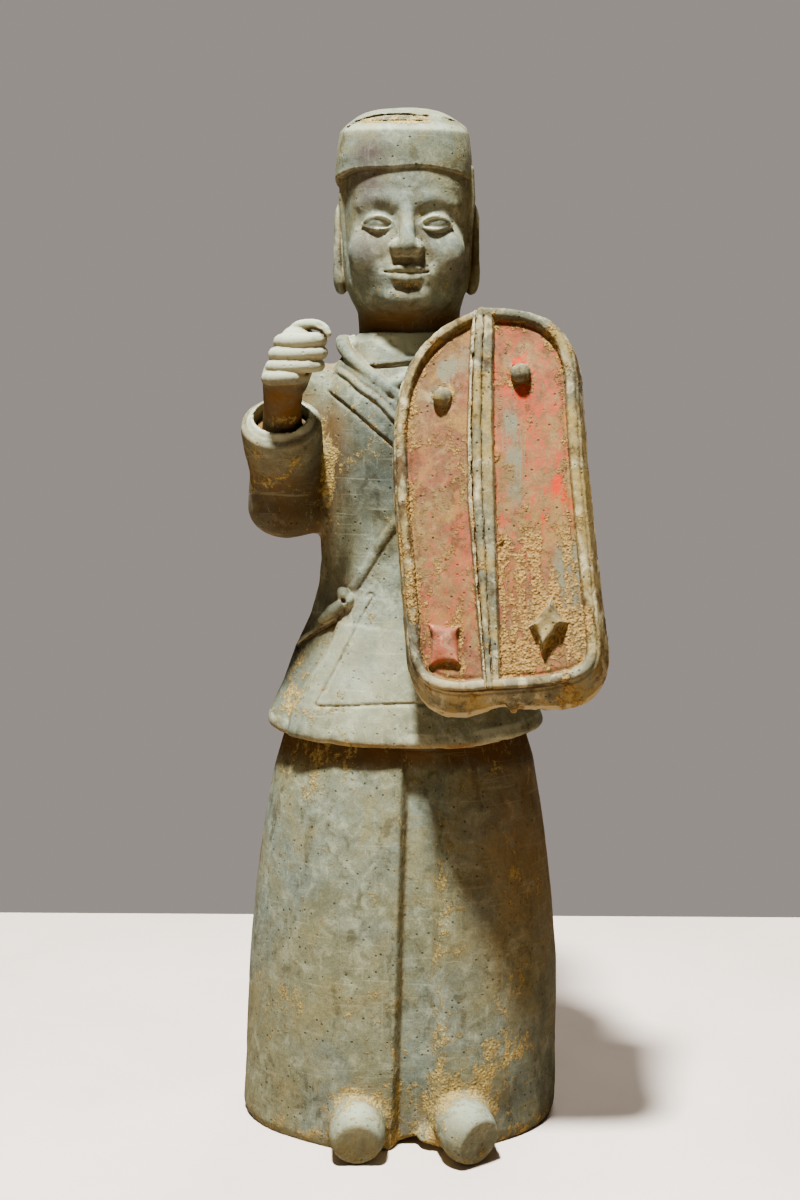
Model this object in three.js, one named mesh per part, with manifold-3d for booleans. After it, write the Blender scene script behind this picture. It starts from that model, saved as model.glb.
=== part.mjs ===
// Standing clay warrior in a long robe and wrapped jacket, right fist raised, the left hand
// holding a long folded shield. Millimetres, +Z up. The figure faces -Y, its right hand is at
// -X, and the origin is the centre of the underside, on the ground.

import * as THREE from 'three';
import { mergeVertices } from 'three/addons/utils/BufferGeometryUtils.js';
import Module from 'manifold-3d';

const wasm = await Module();
wasm.setup();

// Driving dimensions
const HEIGHT = 600;             // ground to the back edge of the cap
const SEAT_GAP = 0.3;           // clearance round every piece that is set into another
const NECK_RADIUS = 31;         // neck where it goes into the jacket
const NECK_DEPTH = 16;          // length of neck hidden inside the jacket
const COLLAR_WALL = 6;          // clay left round the neck socket
const CUFF_RADIUS = 22.5;       // outside of both sleeve ends
const CUFF_WALL = 7;            // clay of the sleeve at its mouth
const CUFF_DEPTH = 18;          // depth of the sleeve socket
const CUFF_HOLLOW = 5;          // how far the wrist's seat lies below the mouth
const WRIST_RADIUS = 10.8;      // bare wrist above its seat
const FINGER_RADIUS = 4;        // every finger and thumb
const SHIELD_LENGTH = 211;      // along the middle rib, front edge to front edge
const SHIELD_WIDTH = 102;       // across the front edges at mid length
const SHIELD_TOP_DEPTH = 10;    // rib foot to back plane at the top
const SHIELD_FOOT_DEPTH = 20;   // the same at the foot
const SHIELD_WALL = 4;          // clay left between the leaves and the hollow back
const SHIELD_FLARE = 13;        // degrees that the edge spreads toward the back
const SHIELD_FOLD = 9;          // degrees that each leaf falls away from the rib
const RIM_WIDTH = 6;            // raised edge round the front
const FIELD_DEPTH = 3.5;        // floor of the leaves below the raised edge
const RIB_WIDTH = 12.4;         // middle rib where it is widest
const RIB_RISE = 2;             // rib above the raised edge
const KNOB_RADIUS = 5.5;        // two round studs in the upper half
const BOSS_WIDTH = 19;          // two four-cornered bosses in the lower half
const BOSS_RISE = 9;            // how far studs and bosses stand off the leaves
const BACK_EDGE = 11;           // margin round the hollow of the back
const GRIP_RADIUS = 4.5;        // bar on the back that the left hand closes on
const GRIP_LENGTH = 46;         // between the two posts of the bar
const FINGER_ROOM = 2;          // air between the closed fingers and the back of the shield
const COLLAR_WIDTH = 15;        // wide lapel band
const COLLAR_RISE = 2.4;        // how far the lapel stands off the jacket
const EDGE_WIDTH = 3.4;         // rolled edge of the wrapped front
const CAP_WIDTH = 80;           // cap over the ears
const CAP_DEPTH = 97;           // cap from brow to nape
const CAP_SIDE = 25;            // height of the cap's upright side in front
const CAP_BEVEL = 11.6;         // height of the slanted band above it
const CAP_LEAN = 0.236;         // rise of the cap's top toward the back
const CAP_DROP = 9;             // fall of the rounded crown from the middle to each side

// The form of the figure is carved in shares of its own height.
const share = HEIGHT / 600;
const at = (x, y, z) => new THREE.Vector3(x, y, z).multiplyScalar(share);

// Clay colours
const clay = (name, colour, roughness) => new THREE.MeshStandardMaterial({
  name, color: colour, roughness, metalness: 0,
});
const CLAY_GREY = clay('grey_clay', 0x94917c, 0.9);
const CLAY_WARM = clay('warm_clay', 0xa3977a, 0.9);
const CLAY_PAINT = clay('painted_clay', 0xa8705a, 0.92);

// Solids from closed surfaces
function solid(geometry) {
  const bare = geometry.clone();
  bare.deleteAttribute('normal');
  bare.deleteAttribute('uv');
  const merged = mergeVertices(bare, 1e-4);
  return new wasm.Manifold(new wasm.Mesh({
    numProp: 3,
    vertProperties: new Float32Array(merged.attributes.position.array),
    triVerts: new Uint32Array(merged.index.array),
  }));
}

function surface(body) {
  const mesh = body.getMesh();
  const geometry = new THREE.BufferGeometry();
  geometry.setAttribute('position', new THREE.BufferAttribute(mesh.vertProperties, 3));
  geometry.setIndex(new THREE.BufferAttribute(mesh.triVerts, 1));
  geometry.computeVertexNormals();
  return geometry;
}

function join(parts) {
  return parts.reduce((whole, part) => whole.add(part));
}

// Skin through closed rings of equal count, each turning anticlockwise seen from the last ring
function loft(rings) {
  const count = rings[0].length;
  const points = rings.flat();
  const index = [];
  for (let k = 0; k < rings.length - 1; k += 1) {
    for (let i = 0; i < count; i += 1) {
      const a = k * count + i;
      const b = k * count + (i + 1) % count;
      index.push(a, b, b + count, a, b + count, a + count);
    }
  }
  const middle = (ring) => ring.reduce((sum, p) => sum.add(p), new THREE.Vector3())
    .divideScalar(count);
  const first = points.push(middle(rings[0])) - 1;
  const last = points.push(middle(rings[rings.length - 1])) - 1;
  const top = (rings.length - 1) * count;
  for (let i = 0; i < count; i += 1) {
    const j = (i + 1) % count;
    index.push(first, j, i, last, top + i, top + j);
  }
  const geometry = new THREE.BufferGeometry().setFromPoints(points);
  geometry.setIndex(index);
  return solid(geometry);
}

// Round limb along a smooth path, with its radius given at each path point
function limb(path, radii, sides = 12, steps = 6) {
  const curve = new THREE.CatmullRomCurve3(path);
  const frames = curve.computeFrenetFrames(steps, false);
  const rings = [];
  const section = (centre, k, radius) => {
    const ring = [];
    for (let i = 0; i < sides; i += 1) {
      const angle = 2 * Math.PI * i / sides;
      ring.push(centre.clone()
        .addScaledVector(frames.normals[k], radius * Math.cos(angle))
        .addScaledVector(frames.binormals[k], radius * Math.sin(angle)));
    }
    return ring;
  };
  const radiusAt = (t) => {
    const place = t * (radii.length - 1);
    const low = Math.min(Math.floor(place), radii.length - 2);
    return THREE.MathUtils.lerp(radii[low], radii[low + 1], place - low);
  };
  const start = curve.getPoint(0);
  const end = curve.getPoint(1);
  rings.push(section(start.clone().addScaledVector(frames.tangents[0], -0.55 * radii[0]), 0,
    0.62 * radii[0]));
  for (let k = 0; k <= steps; k += 1) {
    rings.push(section(curve.getPoint(k / steps), k, radiusAt(k / steps)));
  }
  const tip = radii[radii.length - 1];
  rings.push(section(end.clone().addScaledVector(frames.tangents[steps], 0.55 * tip), steps,
    0.62 * tip));
  return loft(rings);
}

// Straight round piece between two points
function rod(from, to, radius, sides = 16) {
  const length = from.distanceTo(to);
  const geometry = new THREE.CylinderGeometry(radius, radius, length, sides);
  const turn = new THREE.Quaternion().setFromUnitVectors(new THREE.Vector3(0, 1, 0),
    to.clone().sub(from).normalize());
  geometry.applyQuaternion(turn);
  geometry.translate(...from.clone().add(to).multiplyScalar(0.5).toArray());
  return solid(geometry);
}

function lump(centre, size, wide = 10, high = 6) {
  const geometry = new THREE.SphereGeometry(1, wide, high);
  geometry.scale(size.x, size.y, size.z);
  geometry.translate(centre.x, centre.y, centre.z);
  return solid(geometry);
}

// Place on the collar's edge, by degrees round the neck from the figure's left side
function onCollar(degrees, height, grow = 0) {
  const angle = THREE.MathUtils.degToRad(degrees);
  return new THREE.Vector3(NECK_BASE.x + (collarSize + grow) * Math.cos(angle),
    NECK_BASE.y + 0.96 * (collarSize + grow) * Math.sin(angle), height * share);
}

// Flat band laid on the jacket, facing away from the upright axis of the torso
function band(path, width, rise, steps = 10) {
  const curve = new THREE.CatmullRomCurve3(path);
  const rings = [];
  for (let k = 0; k <= steps; k += 1) {
    const centre = curve.getPoint(k / steps);
    const along = curve.getTangent(k / steps);
    const out = new THREE.Vector3(centre.x - 2.5 * share, centre.y, 0).normalize();
    const side = new THREE.Vector3().crossVectors(out, along).normalize();
    out.crossVectors(along, side).normalize();
    const ring = [];
    for (let i = 0; i < 6; i += 1) {
      const angle = 2 * Math.PI * i / 6;
      ring.push(centre.clone()
        .addScaledVector(side, 0.54 * width * Math.cos(angle))
        .addScaledVector(out, rise * 1.05 * Math.sin(angle)));
    }
    rings.push(ring);
  }
  return loft(rings);
}

// Robe and jacket
// Each row is height, half width, half depth, sideways centre and how much higher the sides
// hang than the front, in shares of the height.
const ROBE_POWER = 2.1;
const JACKET_POWER = 2.35;
const robeRows = [
  [0, 91.5, 72, 0, 0], [5, 93.6, 74, 0, 0], [45, 93.3, 74, 1.3, 0], [90, 92, 71.5, 1.9, 0],
  [125, 89.4, 69, 1.8, 0], [154, 86, 66, 2, 0], [190, 80.5, 61.5, 2, 0],
  [212, 76.5, 58.5, 2.2, 1], [225, 71, 55, 2.2, 5],
];
const jacketRows = [
  [227, 79, 61, 2.2, 6], [230, 81.4, 62.6, 2.2, 6], [237, 80.8, 61.5, 2.2, 4],
  [258, 72.3, 56, 2.3, 0], [278, 65, 51.5, 2.3, 0], [298, 56.4, 46.2, 2.4, 0],
  [316, 51.5, 43, 2.5, 0], [331, 49.9, 41.5, 2.5, 0], [360, 51.5, 41, 2.5, 0],
  [395, 53, 41, 2.5, 0], [414, 52, 39.5, 2.5, 0], [428, 49, 36.5, 2.5, 0],
  [440, 44, 36, 2.6, 0],
];
const NECK_BASE = at(3, 2, 458);
const collarSize = NECK_RADIUS + COLLAR_WALL;

// Recess down the front of the robe between the two legs, sharp on the figure's right
function fluteDepth(x, z) {
  const left = 1.2 - 5.5 * (1 - z / 220);
  const right = 23 - 4 * (1 - z / 220) ** 2;
  const into = THREE.MathUtils.smoothstep(x, left - 1, left + 3.2);
  const out = 1 - THREE.MathUtils.smoothstep(x, right - 5, right + 4);
  const fade = THREE.MathUtils.smoothstep(226 - z, 0, 14);
  return 7.5 * into * out * fade;
}

function legSwell(x, z) {
  const lobe = (centre) => Math.exp(-(((x - centre) / 26) ** 2));
  return 3.2 * (lobe(-30) + lobe(48)) * THREE.MathUtils.smoothstep(226 - z, 0, 60);
}

const RING_COUNT = 36;

function formRing([z, halfWide, halfDeep, centreX, lift]) {
  const ring = [];
  const count = RING_COUNT;
  const power = z < 226 ? ROBE_POWER : JACKET_POWER;
  for (let i = 0; i < count; i += 1) {
    const turn = 2 * Math.PI * i / count;
    // Points crowd together at the front, where the carving is.
    const angle = turn - 0.5 * Math.cos(turn);
    const cos = Math.cos(angle);
    const sin = Math.sin(angle);
    const x = centreX + halfWide * Math.sign(cos) * Math.abs(cos) ** (2 / power);
    let y = halfDeep * Math.sign(sin) * Math.abs(sin) ** (2 / power);
    if (z < 226 && sin < 0) {
      y += (fluteDepth(x, z) - legSwell(x, z)) * Math.min(1, -sin * 1.6);
    }
    ring.push(at(x, y, z + lift * cos ** 2));
  }
  return ring;
}

function collarRing(height, size) {
  const ring = [];
  for (let i = 0; i < RING_COUNT; i += 1) {
    const turn = 2 * Math.PI * i / RING_COUNT;
    const angle = turn - 0.5 * Math.cos(turn);
    ring.push(new THREE.Vector3(NECK_BASE.x + size * Math.cos(angle),
      NECK_BASE.y + 0.96 * size * Math.sin(angle), height));
  }
  return ring;
}

function makeTorso() {
  const rings = [...robeRows, ...jacketRows].map((row) => formRing(row));
  rings.push(collarRing(450 * share, collarSize + 4 * share));
  rings.push(collarRing(458 * share, collarSize));
  rings.push(collarRing(460.5 * share, collarSize - 2));
  return loft(rings);
}

// Feet, only the toes stand out from under the robe
function makeFoot(x, turn, size) {
  return limb([at(x - turn * 34, -50, 15), at(x - turn * 15, -70, 17), at(x, -89, size)],
    [size * share, size * share, size * share], 12, 3);
}

// Sleeves
const rightArm = {
  shoulder: at(-45, 2, 423), elbow: at(-66, -9, 366.5), cuff: at(-68, -50, 410),
  axis: new THREE.Vector3(-0.03, -0.65, 0.76).normalize(),
};
const leftArm = {
  shoulder: at(49, 2, 423), elbow: at(68, 4, 366), cuff: at(57, -37, 358.5),
  axis: new THREE.Vector3(-0.27, -0.95, -0.12).normalize(),
};
const socketRadius = CUFF_RADIUS - CUFF_WALL;

function makeSleeve(arm) {
  const upper = limb([arm.shoulder, arm.shoulder.clone().lerp(arm.elbow, 0.55), arm.elbow],
    [20 * share, 21 * share, 21.5 * share], 12, 3);
  const inner = arm.elbow.clone().addScaledVector(arm.axis, 14 * share);
  const mouth = arm.cuff.clone().addScaledVector(arm.axis, -0.55 * CUFF_RADIUS);
  const fore = limb([arm.elbow, inner, mouth], [21 * share, 20.5 * share, CUFF_RADIUS], 12, 3);
  const sleeveEnd = rod(mouth.clone().addScaledVector(arm.axis, -6), arm.cuff, CUFF_RADIUS);
  return join([upper, fore, sleeveEnd]);
}

function makeSocket(arm) {
  return rod(arm.cuff.clone().addScaledVector(arm.axis, -CUFF_DEPTH),
    arm.cuff.clone().addScaledVector(arm.axis, 2 * CUFF_RADIUS), socketRadius);
}

function makeSeat(arm) {
  return rod(arm.cuff.clone().addScaledVector(arm.axis, SEAT_GAP - CUFF_DEPTH),
    arm.cuff.clone().addScaledVector(arm.axis, -CUFF_HOLLOW), socketRadius - SEAT_GAP);
}

// Jacket carving
function makeJacketCarving() {
  const lapel = band([
    onCollar(90, 458), onCollar(136, 458), onCollar(177, 456), onCollar(206, 449, 2.6),
    at(-26, -29.5, 440), at(-15, -35, 430.5), at(-5, -38.5, 421), at(12, -40.5, 404),
    at(33, -37, 384), at(47, -24, 366),
  ], COLLAR_WIDTH, COLLAR_RISE);
  const underLapel = band([
    onCollar(90, 457), onCollar(44, 457), onCollar(5, 455), onCollar(-31, 450),
    onCollar(-64, 445.5), onCollar(-92, 443), onCollar(-118, 440), onCollar(-133, 436),
  ], COLLAR_WIDTH * 0.55, COLLAR_RISE);
  const wrapEdge = band([
    at(46, -22, 380), at(24, -39, 368), at(-7.6, -41.5, 344), at(-18, -40, 332.5),
    at(-26.5, -38, 321), at(-31, -37.5, 312), at(-38.7, -39, 290), at(-47.2, -39.8, 275.4),
    at(-53.6, -39.5, 263), at(-58.5, -38.5, 254), at(-64.2, -41.5, 231),
  ], EDGE_WIDTH, EDGE_WIDTH / 2, 12);
  const knot = lump(at(-32, -37, 312), at(6, 4, 6.5), 8, 6);
  const tail = limb([at(-33, -37.5, 309), at(-40, -34.5, 301), at(-47, -29, 294)],
    [4.4 * share, 5 * share, 3.6 * share], 8, 3);
  return join([lapel, underLapel, wrapEdge, knot, tail]);
}

// Head
const headRows = [
  [469, 15, -31, 12], [472.5, 22, -38, 20], [478, 28, -42, 30], [488, 33.5, -43.5, 38],
  [500, 36.5, -43.5, 42], [514, 37.6, -43.5, 45], [528, 37.8, -44, 46.5],
  [543, 37.4, -45, 46.5], [556, 36, -44, 46],
];
const HEAD_X = 1.4;

function ovalRing(height, halfWide, front, back, power, centreX, count, tilt = 0) {
  const ring = [];
  for (let i = 0; i < count; i += 1) {
    const angle = 2 * Math.PI * i / count;
    const cos = Math.cos(angle);
    const sin = Math.sin(angle);
    const x = centreX + halfWide * Math.sign(cos) * Math.abs(cos) ** (2 / power);
    const y = (front + back) / 2
      + ((back - front) / 2) * Math.sign(sin) * Math.abs(sin) ** (2 / power);
    ring.push(at(x, y, height + tilt * y));
  }
  return ring;
}

// Each row is a height and a width and depth in shares of the cap's own, and its lean.
function makeCap() {
  const wide = CAP_WIDTH / 2 / share;
  const deep = CAP_DEPTH / 2 / share;
  const brim = 551.5;
  const bevelFoot = brim + CAP_SIDE / share;
  const crown = bevelFoot + CAP_BEVEL / share;
  const ring = (height, width, front, back, lean = 0, domed = 0) => {
    const points = ovalRing(height, width * wide, -front * deep, back * deep, 2.9, -0.4, 22, lean);
    points.forEach((point) => {
      point.z -= domed * CAP_DROP * (Math.abs(point.x) / (0.85 * CAP_WIDTH / 2)) ** 3;
    });
    return points;
  };
  return loft([
    ring(brim + 1, 0.9, 0.93, 0.93),
    ring(brim, 0.98, 0.975, 0.98),
    ring(brim + 3.5, 0.99, 0.99, 0.995),
    ring(bevelFoot, 0.935, 0.95, 0.977, 0.75 * CAP_LEAN),
    ring(crown - 3.6, 0.87, 0.84, 0.94, CAP_LEAN, 0.3),
    ring(crown - 0.6, 0.82, 0.785, 0.925, CAP_LEAN, 0.75),
    ring(crown + 0.7, 0.7, 0.74, 0.9, CAP_LEAN, 1),
    ring(crown + 1.2, 0.36, 0.45, 0.62, CAP_LEAN, 1),
  ]);
}

function makeHead() {
  const skull = loft(headRows.map(([z, wide, front, back]) => (
    ovalRing(z, wide, front, back, 2.2, HEAD_X, 22))));
  const cap = makeCap();
  const brow = lump(at(HEAD_X, -38.5, 533), at(29, 7, 6), 10, 5);
  const bridge = limb([at(HEAD_X, -41.5, 533), at(HEAD_X, -44.6, 520), at(HEAD_X, -47.4, 508)],
    [3.4 * share, 3.6 * share, 4.6 * share], 8, 3);
  const nostrils = lump(at(HEAD_X, -45.5, 506), at(8.2, 5, 4.2), 8, 5);
  const lips = lump(at(HEAD_X, -43, 494), at(11.5, 5, 4.4), 8, 5);
  const chin = lump(at(HEAD_X, -34.5, 481), at(15, 10.2, 10), 8, 6);
  const parts = [skull, cap, brow, bridge, nostrils, lips, chin];
  for (const side of [-1, 1]) {
    parts.push(lump(at(HEAD_X + side * 16.5, -41, 521), at(9.5, 5.2, 4.6), 8, 5));
    parts.push(lump(at(HEAD_X + side * 38.8, 5, 511.5), at(4.2, 10.5, 25), 8, 6));
    parts.push(limb([at(HEAD_X + side * 37.5, -13, 553), at(HEAD_X + side * 38.5, -12, 530),
      at(HEAD_X + side * 36, -12, 505)], [4 * share, 3.6 * share, 2.4 * share], 6, 2));
  }
  const throat = NECK_BASE.clone();
  throat.z = 485 * share;
  const neck = rod(NECK_BASE.clone().setZ(NECK_BASE.z - NECK_DEPTH), throat, NECK_RADIUS, 22);
  return join([...parts, neck]);
}

function makeNeckSocket() {
  const foot = NECK_BASE.clone();
  foot.z -= NECK_DEPTH + SEAT_GAP;
  const mouth = NECK_BASE.clone();
  mouth.z += 40 * share;
  return rod(foot, mouth, NECK_RADIUS + SEAT_GAP, 22);
}

// Raised right fist, four fingers closed toward the front and the thumb laid over the top
function makeRightHand() {
  const palm = limb([at(-62, -70, 433), at(-59.5, -70.5, 443), at(-57.3, -70.5, 451)],
    [11.2 * share, 12.4 * share, 11.4 * share], 10, 2);
  const heart = lump(at(-56, -71.5, 445), at(14, 11, 16), 12, 8);
  const parts = [palm, heart, makeSeat(rightArm)];
  // Each finger is a height, its knuckle, its tip and its girth.
  const fingers = [[452.6, -67, -45.6, 1.1], [445.9, -70, -45, 1.05], [439.2, -71.6, -46.4, 1],
    [433, -74, -54, 0.96]];
  for (const [z, knuckle, tip, girth] of fingers) {
    parts.push(limb([
      at(knuckle, -68, z), at(knuckle + 2, -77, z - 0.3), at((knuckle + tip) / 2, -81.5, z - 0.2),
      at(tip - 2.4, -80.4, z + 0.5), at(tip, -74, z + 0.8),
    ], [1, 1, 1, 1, 0.9].map((r) => r * girth * FINGER_RADIUS), 7, 4));
  }
  parts.push(limb([
    at(-69, -63, 446), at(-64.5, -66, 452.8), at(-59.5, -70, 457.6), at(-53, -73.6, 459.8),
    at(-46, -76.4, 459), at(-43, -77.2, 456.6),
  ], [1.2, 1.15, 0.95, 0.85, 0.8, 0.7].map((r) => r * FINGER_RADIUS), 8, 5));
  const seat = rightArm.cuff.clone().addScaledVector(rightArm.axis, -CUFF_HOLLOW - 3);
  const heel = at(-65.5, -68, 434);
  const start = seat.clone().lerp(heel, 0.04);
  parts.push(limb([start, seat.clone().lerp(heel, 0.5), heel],
    [WRIST_RADIUS, WRIST_RADIUS, WRIST_RADIUS * 1.08], 12, 2));
  return join(parts);
}

// Shield, modelled flat: X across, Y up its length, Z out of its front
const halfWidth = SHIELD_WIDTH / 2;
const halfLength = SHIELD_LENGTH / 2;

function shieldOutline(grow, drop = 0) {
  const x = (share51) => share51 / 51 * halfWidth;
  const y = (share105) => share105 / 105.5 * halfLength;
  const line = new THREE.Shape();
  line.moveTo(x(0), y(105.5));
  line.bezierCurveTo(x(29), y(104), x(48.5), y(98), x(47), y(55));
  line.lineTo(x(47), y(13));
  line.lineTo(x(50.7), y(-81));
  line.bezierCurveTo(x(51.2), y(-99), x(42), y(-102), x(20), y(-104.5));
  line.lineTo(x(-20), y(-105));
  line.bezierCurveTo(x(-40), y(-103.5), x(-48), y(-97), x(-49), y(-79));
  line.lineTo(x(-52.8), y(5));
  line.lineTo(x(-52.8), y(17));
  line.bezierCurveTo(x(-54), y(80), x(-37), y(98), x(0), y(105.5));
  const points = line.getSpacedPoints(34).slice(0, -1).reverse();
  return points.map((p, i, all) => {
    const before = all[(i + all.length - 1) % all.length];
    const after = all[(i + 1) % all.length];
    const along = after.clone().sub(before).normalize();
    const lower = p.y < 0 ? drop * (p.y / halfLength) ** 6 : 0;
    return new THREE.Vector2(p.x + along.y * grow, p.y - along.x * grow - lower);
  });
}

const foldSlope = Math.tan(THREE.MathUtils.degToRad(SHIELD_FOLD));
const depthAt = (y) => THREE.MathUtils.mapLinear(y, -halfLength, halfLength,
  SHIELD_FOOT_DEPTH, SHIELD_TOP_DEPTH);

function prism(points, low, high) {
  const ring = (height) => points.map((p) => new THREE.Vector3(p.x, p.y, height));
  return loft([ring(low), ring(high)]);
}

// Everything behind a folded face, which lies the given depth behind the front at each end
function foldedBlock(topDepth, footDepth = topDepth) {
  const wide = SHIELD_WIDTH;
  const long = SHIELD_LENGTH;
  const fall = wide * foldSlope;
  const low = -fall - 4 * SHIELD_FOOT_DEPTH;
  const end = (y, depth) => [[-wide, low], [wide, low], [wide, -fall - depth], [0, -depth],
    [-wide, -fall - depth]].map(([x, z]) => new THREE.Vector3(x, y, z));
  const beyond = 1.5 * (topDepth - footDepth) / 2;
  const middle = (topDepth + footDepth) / 2;
  return loft([end(1.5 * long / 2, middle + beyond), end(-1.5 * long / 2, middle - beyond)]);
}

// Middle rib, bowed toward the figure's right hand, with its ridge on that side. Each row is
// a place along the shield, a place across it and a width, in shares of the shield and rib.
function makeRib() {
  const rows = [[0.97, -0.008, 0.78], [0.38, -0.1, 0.97], [0, -0.124, 1], [-0.47, -0.118, 0.81],
    [-0.98, -0.1, 0.55]];
  const section = [[-1, 0.2], [-0.62, 0.65], [-0.26, 1], [0.1, 0.65], [0.2, 0.15], [1, 0.2]];
  const foot = -FIELD_DEPTH - SHIELD_WALL / 2;
  return loft(rows.map(([along, across, width]) => {
    const half = width * RIB_WIDTH / 2;
    const outline = [[-1, foot], [1, foot],
      ...section.map(([x, rise]) => [x, rise * RIB_RISE]).reverse()];
    return outline.map(([x, z]) => (
      new THREE.Vector3(across * halfWidth + x * half, along * halfLength, z)));
  }));
}

function makeBoss(x, y, turn) {
  const half = BOSS_WIDTH / 2;
  const corner = new THREE.Shape();
  corner.moveTo(half, half);
  corner.quadraticCurveTo(0, half * 0.45, -half, half);
  corner.quadraticCurveTo(-half * 0.45, 0, -half, -half);
  corner.quadraticCurveTo(0, -half * 0.45, half, -half);
  corner.quadraticCurveTo(half * 0.45, 0, half, half);
  const points = corner.getSpacedPoints(12).slice(0, -1);
  const base = -Math.abs(x) * foldSlope - FIELD_DEPTH;
  const level = (height, size) => points.map((p) => {
    const turned = p.clone().rotateAround(new THREE.Vector2(), turn).multiplyScalar(size);
    return new THREE.Vector3(x + turned.x, y + turned.y, base + height);
  });
  const rings = [level(-4, 1), level(BOSS_RISE * 0.7, 1), level(BOSS_RISE, 0.72)];
  if (THREE.ShapeUtils.area(points) < 0) {
    rings.forEach((ring) => ring.reverse());
  }
  return loft(rings);
}

const gripLevel = -depthAt(0) - GRIP_RADIUS - 2 * FINGER_RADIUS - FINGER_ROOM;

function makeGrip(extra) {
  const half = GRIP_LENGTH / 2;
  const reach = GRIP_RADIUS + extra;
  const bar = rod(new THREE.Vector3(0, -half, gripLevel),
    new THREE.Vector3(0, half, gripLevel), reach, 8);
  const posts = [-half, half].map((y) => rod(
    new THREE.Vector3(0, y, gripLevel - reach * 0.9),
    new THREE.Vector3(0, y, -FIELD_DEPTH - 1), reach, 8));
  return join([bar, ...posts]);
}

function makeShield() {
  const deep = halfWidth * foldSlope + SHIELD_FOOT_DEPTH + 8;
  const spread = (deep - halfWidth * foldSlope) * Math.tan(THREE.MathUtils.degToRad(SHIELD_FLARE));
  const ringAt = (points, height) => points.map((p) => new THREE.Vector3(p.x, p.y, height));
  const shell = loft([
    ringAt(shieldOutline(spread, 8), -deep),
    ringAt(shieldOutline(0), -halfWidth * foldSlope),
    ringAt(shieldOutline(0), 2 * RIM_WIDTH),
  ]);
  const leaves = prism(shieldOutline(-RIM_WIDTH), -2 * deep, 2 * RIM_WIDTH)
    .subtract(foldedBlock(FIELD_DEPTH));
  const hollow = prism(shieldOutline(-BACK_EDGE), -2 * deep, 0)
    .intersect(foldedBlock(FIELD_DEPTH + SHIELD_WALL));
  const stud = (x, y) => lump(
    new THREE.Vector3(x, y, -Math.abs(x) * foldSlope - FIELD_DEPTH + 1),
    new THREE.Vector3(KNOB_RADIUS, KNOB_RADIUS, BOSS_RISE - 1), 10, 6);
  const bare = shell.intersect(foldedBlock(0))
    .subtract(foldedBlock(SHIELD_TOP_DEPTH, SHIELD_FOOT_DEPTH))
    .subtract(leaves)
    .subtract(hollow);
  return join([bare, makeRib(),
    stud(-0.53 * halfWidth, 0.56 * halfLength), stud(0.34 * halfWidth, 0.645 * halfLength),
    makeBoss(-0.56 * halfWidth, -0.764 * halfLength, 0.12),
    makeBoss(0.486 * halfWidth, -0.686 * halfLength, 0.66),
    makeGrip(0),
  ]);
}

const shieldPlace = (() => {
  const tilt = THREE.MathUtils.degToRad(15);
  const yaw = THREE.MathUtils.degToRad(10);
  const roll = THREE.MathUtils.degToRad(5.1);
  const out = new THREE.Vector3(-Math.sin(yaw) * Math.cos(tilt),
    -Math.cos(yaw) * Math.cos(tilt), Math.sin(tilt));
  const across = new THREE.Vector3(Math.cos(yaw), -Math.sin(yaw), 0);
  const up = new THREE.Vector3().crossVectors(out, across);
  const leanAcross = across.clone().multiplyScalar(Math.cos(roll))
    .addScaledVector(up, Math.sin(roll));
  const leanUp = up.clone().multiplyScalar(Math.cos(roll))
    .addScaledVector(across, -Math.sin(roll));
  const place = new THREE.Matrix4().makeBasis(leanAcross, leanUp, out);
  return place.setPosition(at(48, -88, 371.5));
})();

// Left fist closed on the grip, its wrist running back into the left sleeve
function makeLeftHand() {
  const outer = GRIP_RADIUS + 2 * FINGER_RADIUS;
  const profile = [new THREE.Vector2(0, -4.1 * FINGER_RADIUS)];
  for (let k = 0; k < 4; k += 1) {
    const middle = (2 * k - 3) * FINGER_RADIUS;
    profile.push(new THREE.Vector2(outer - 1.4, middle - 0.9 * FINGER_RADIUS));
    profile.push(new THREE.Vector2(outer, middle - 0.35 * FINGER_RADIUS));
    profile.push(new THREE.Vector2(outer, middle + 0.35 * FINGER_RADIUS));
  }
  profile.push(new THREE.Vector2(outer - 1.4, 3.9 * FINGER_RADIUS));
  profile.push(new THREE.Vector2(0, 4.1 * FINGER_RADIUS));
  const knuckles = new THREE.LatheGeometry(profile, 10);
  knuckles.translate(0, 0, gripLevel);
  knuckles.applyMatrix4(shieldPlace);
  const centre = new THREE.Vector3(0, 0, gripLevel - 5).applyMatrix4(shieldPlace);
  const seat = leftArm.cuff.clone().addScaledVector(leftArm.axis, -CUFF_HOLLOW - 3);
  const wrist = limb([seat, seat.clone().lerp(centre, 0.5), centre],
    [WRIST_RADIUS, WRIST_RADIUS, WRIST_RADIUS], 12, 2);
  const bar = new THREE.BufferGeometry().copy(surface(makeGrip(SEAT_GAP)));
  bar.applyMatrix4(shieldPlace);
  return join([solid(knuckles), wrist, makeSeat(leftArm)]).subtract(solid(bar));
}

// Everything stands on one level.
function makeGroundBlock() {
  const block = new THREE.BoxGeometry(HEIGHT, HEIGHT, HEIGHT);
  block.translate(0, 0, -HEIGHT / 2);
  return solid(block);
}

function makeBody() {
  const archTop = at(12, -95, -17.6);
  const archBack = at(12, -50, -17.6);
  const bodyParts = [makeTorso(), makeFoot(-23.3, 0.02, 15.6), makeFoot(38.5, 0.18, 16.6),
    makeSleeve(rightArm), makeSleeve(leftArm), makeJacketCarving()];
  return join(bodyParts)
    .subtract(rod(archTop, archBack, 22 * share, 24))
    .subtract(makeNeckSocket())
    .subtract(makeSocket(rightArm))
    .subtract(makeSocket(leftArm))
    .subtract(makeGroundBlock());
}

function piece(name, shape, material) {
  const mesh = new THREE.Mesh(surface(shape), material);
  mesh.name = name;
  return mesh;
}

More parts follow.
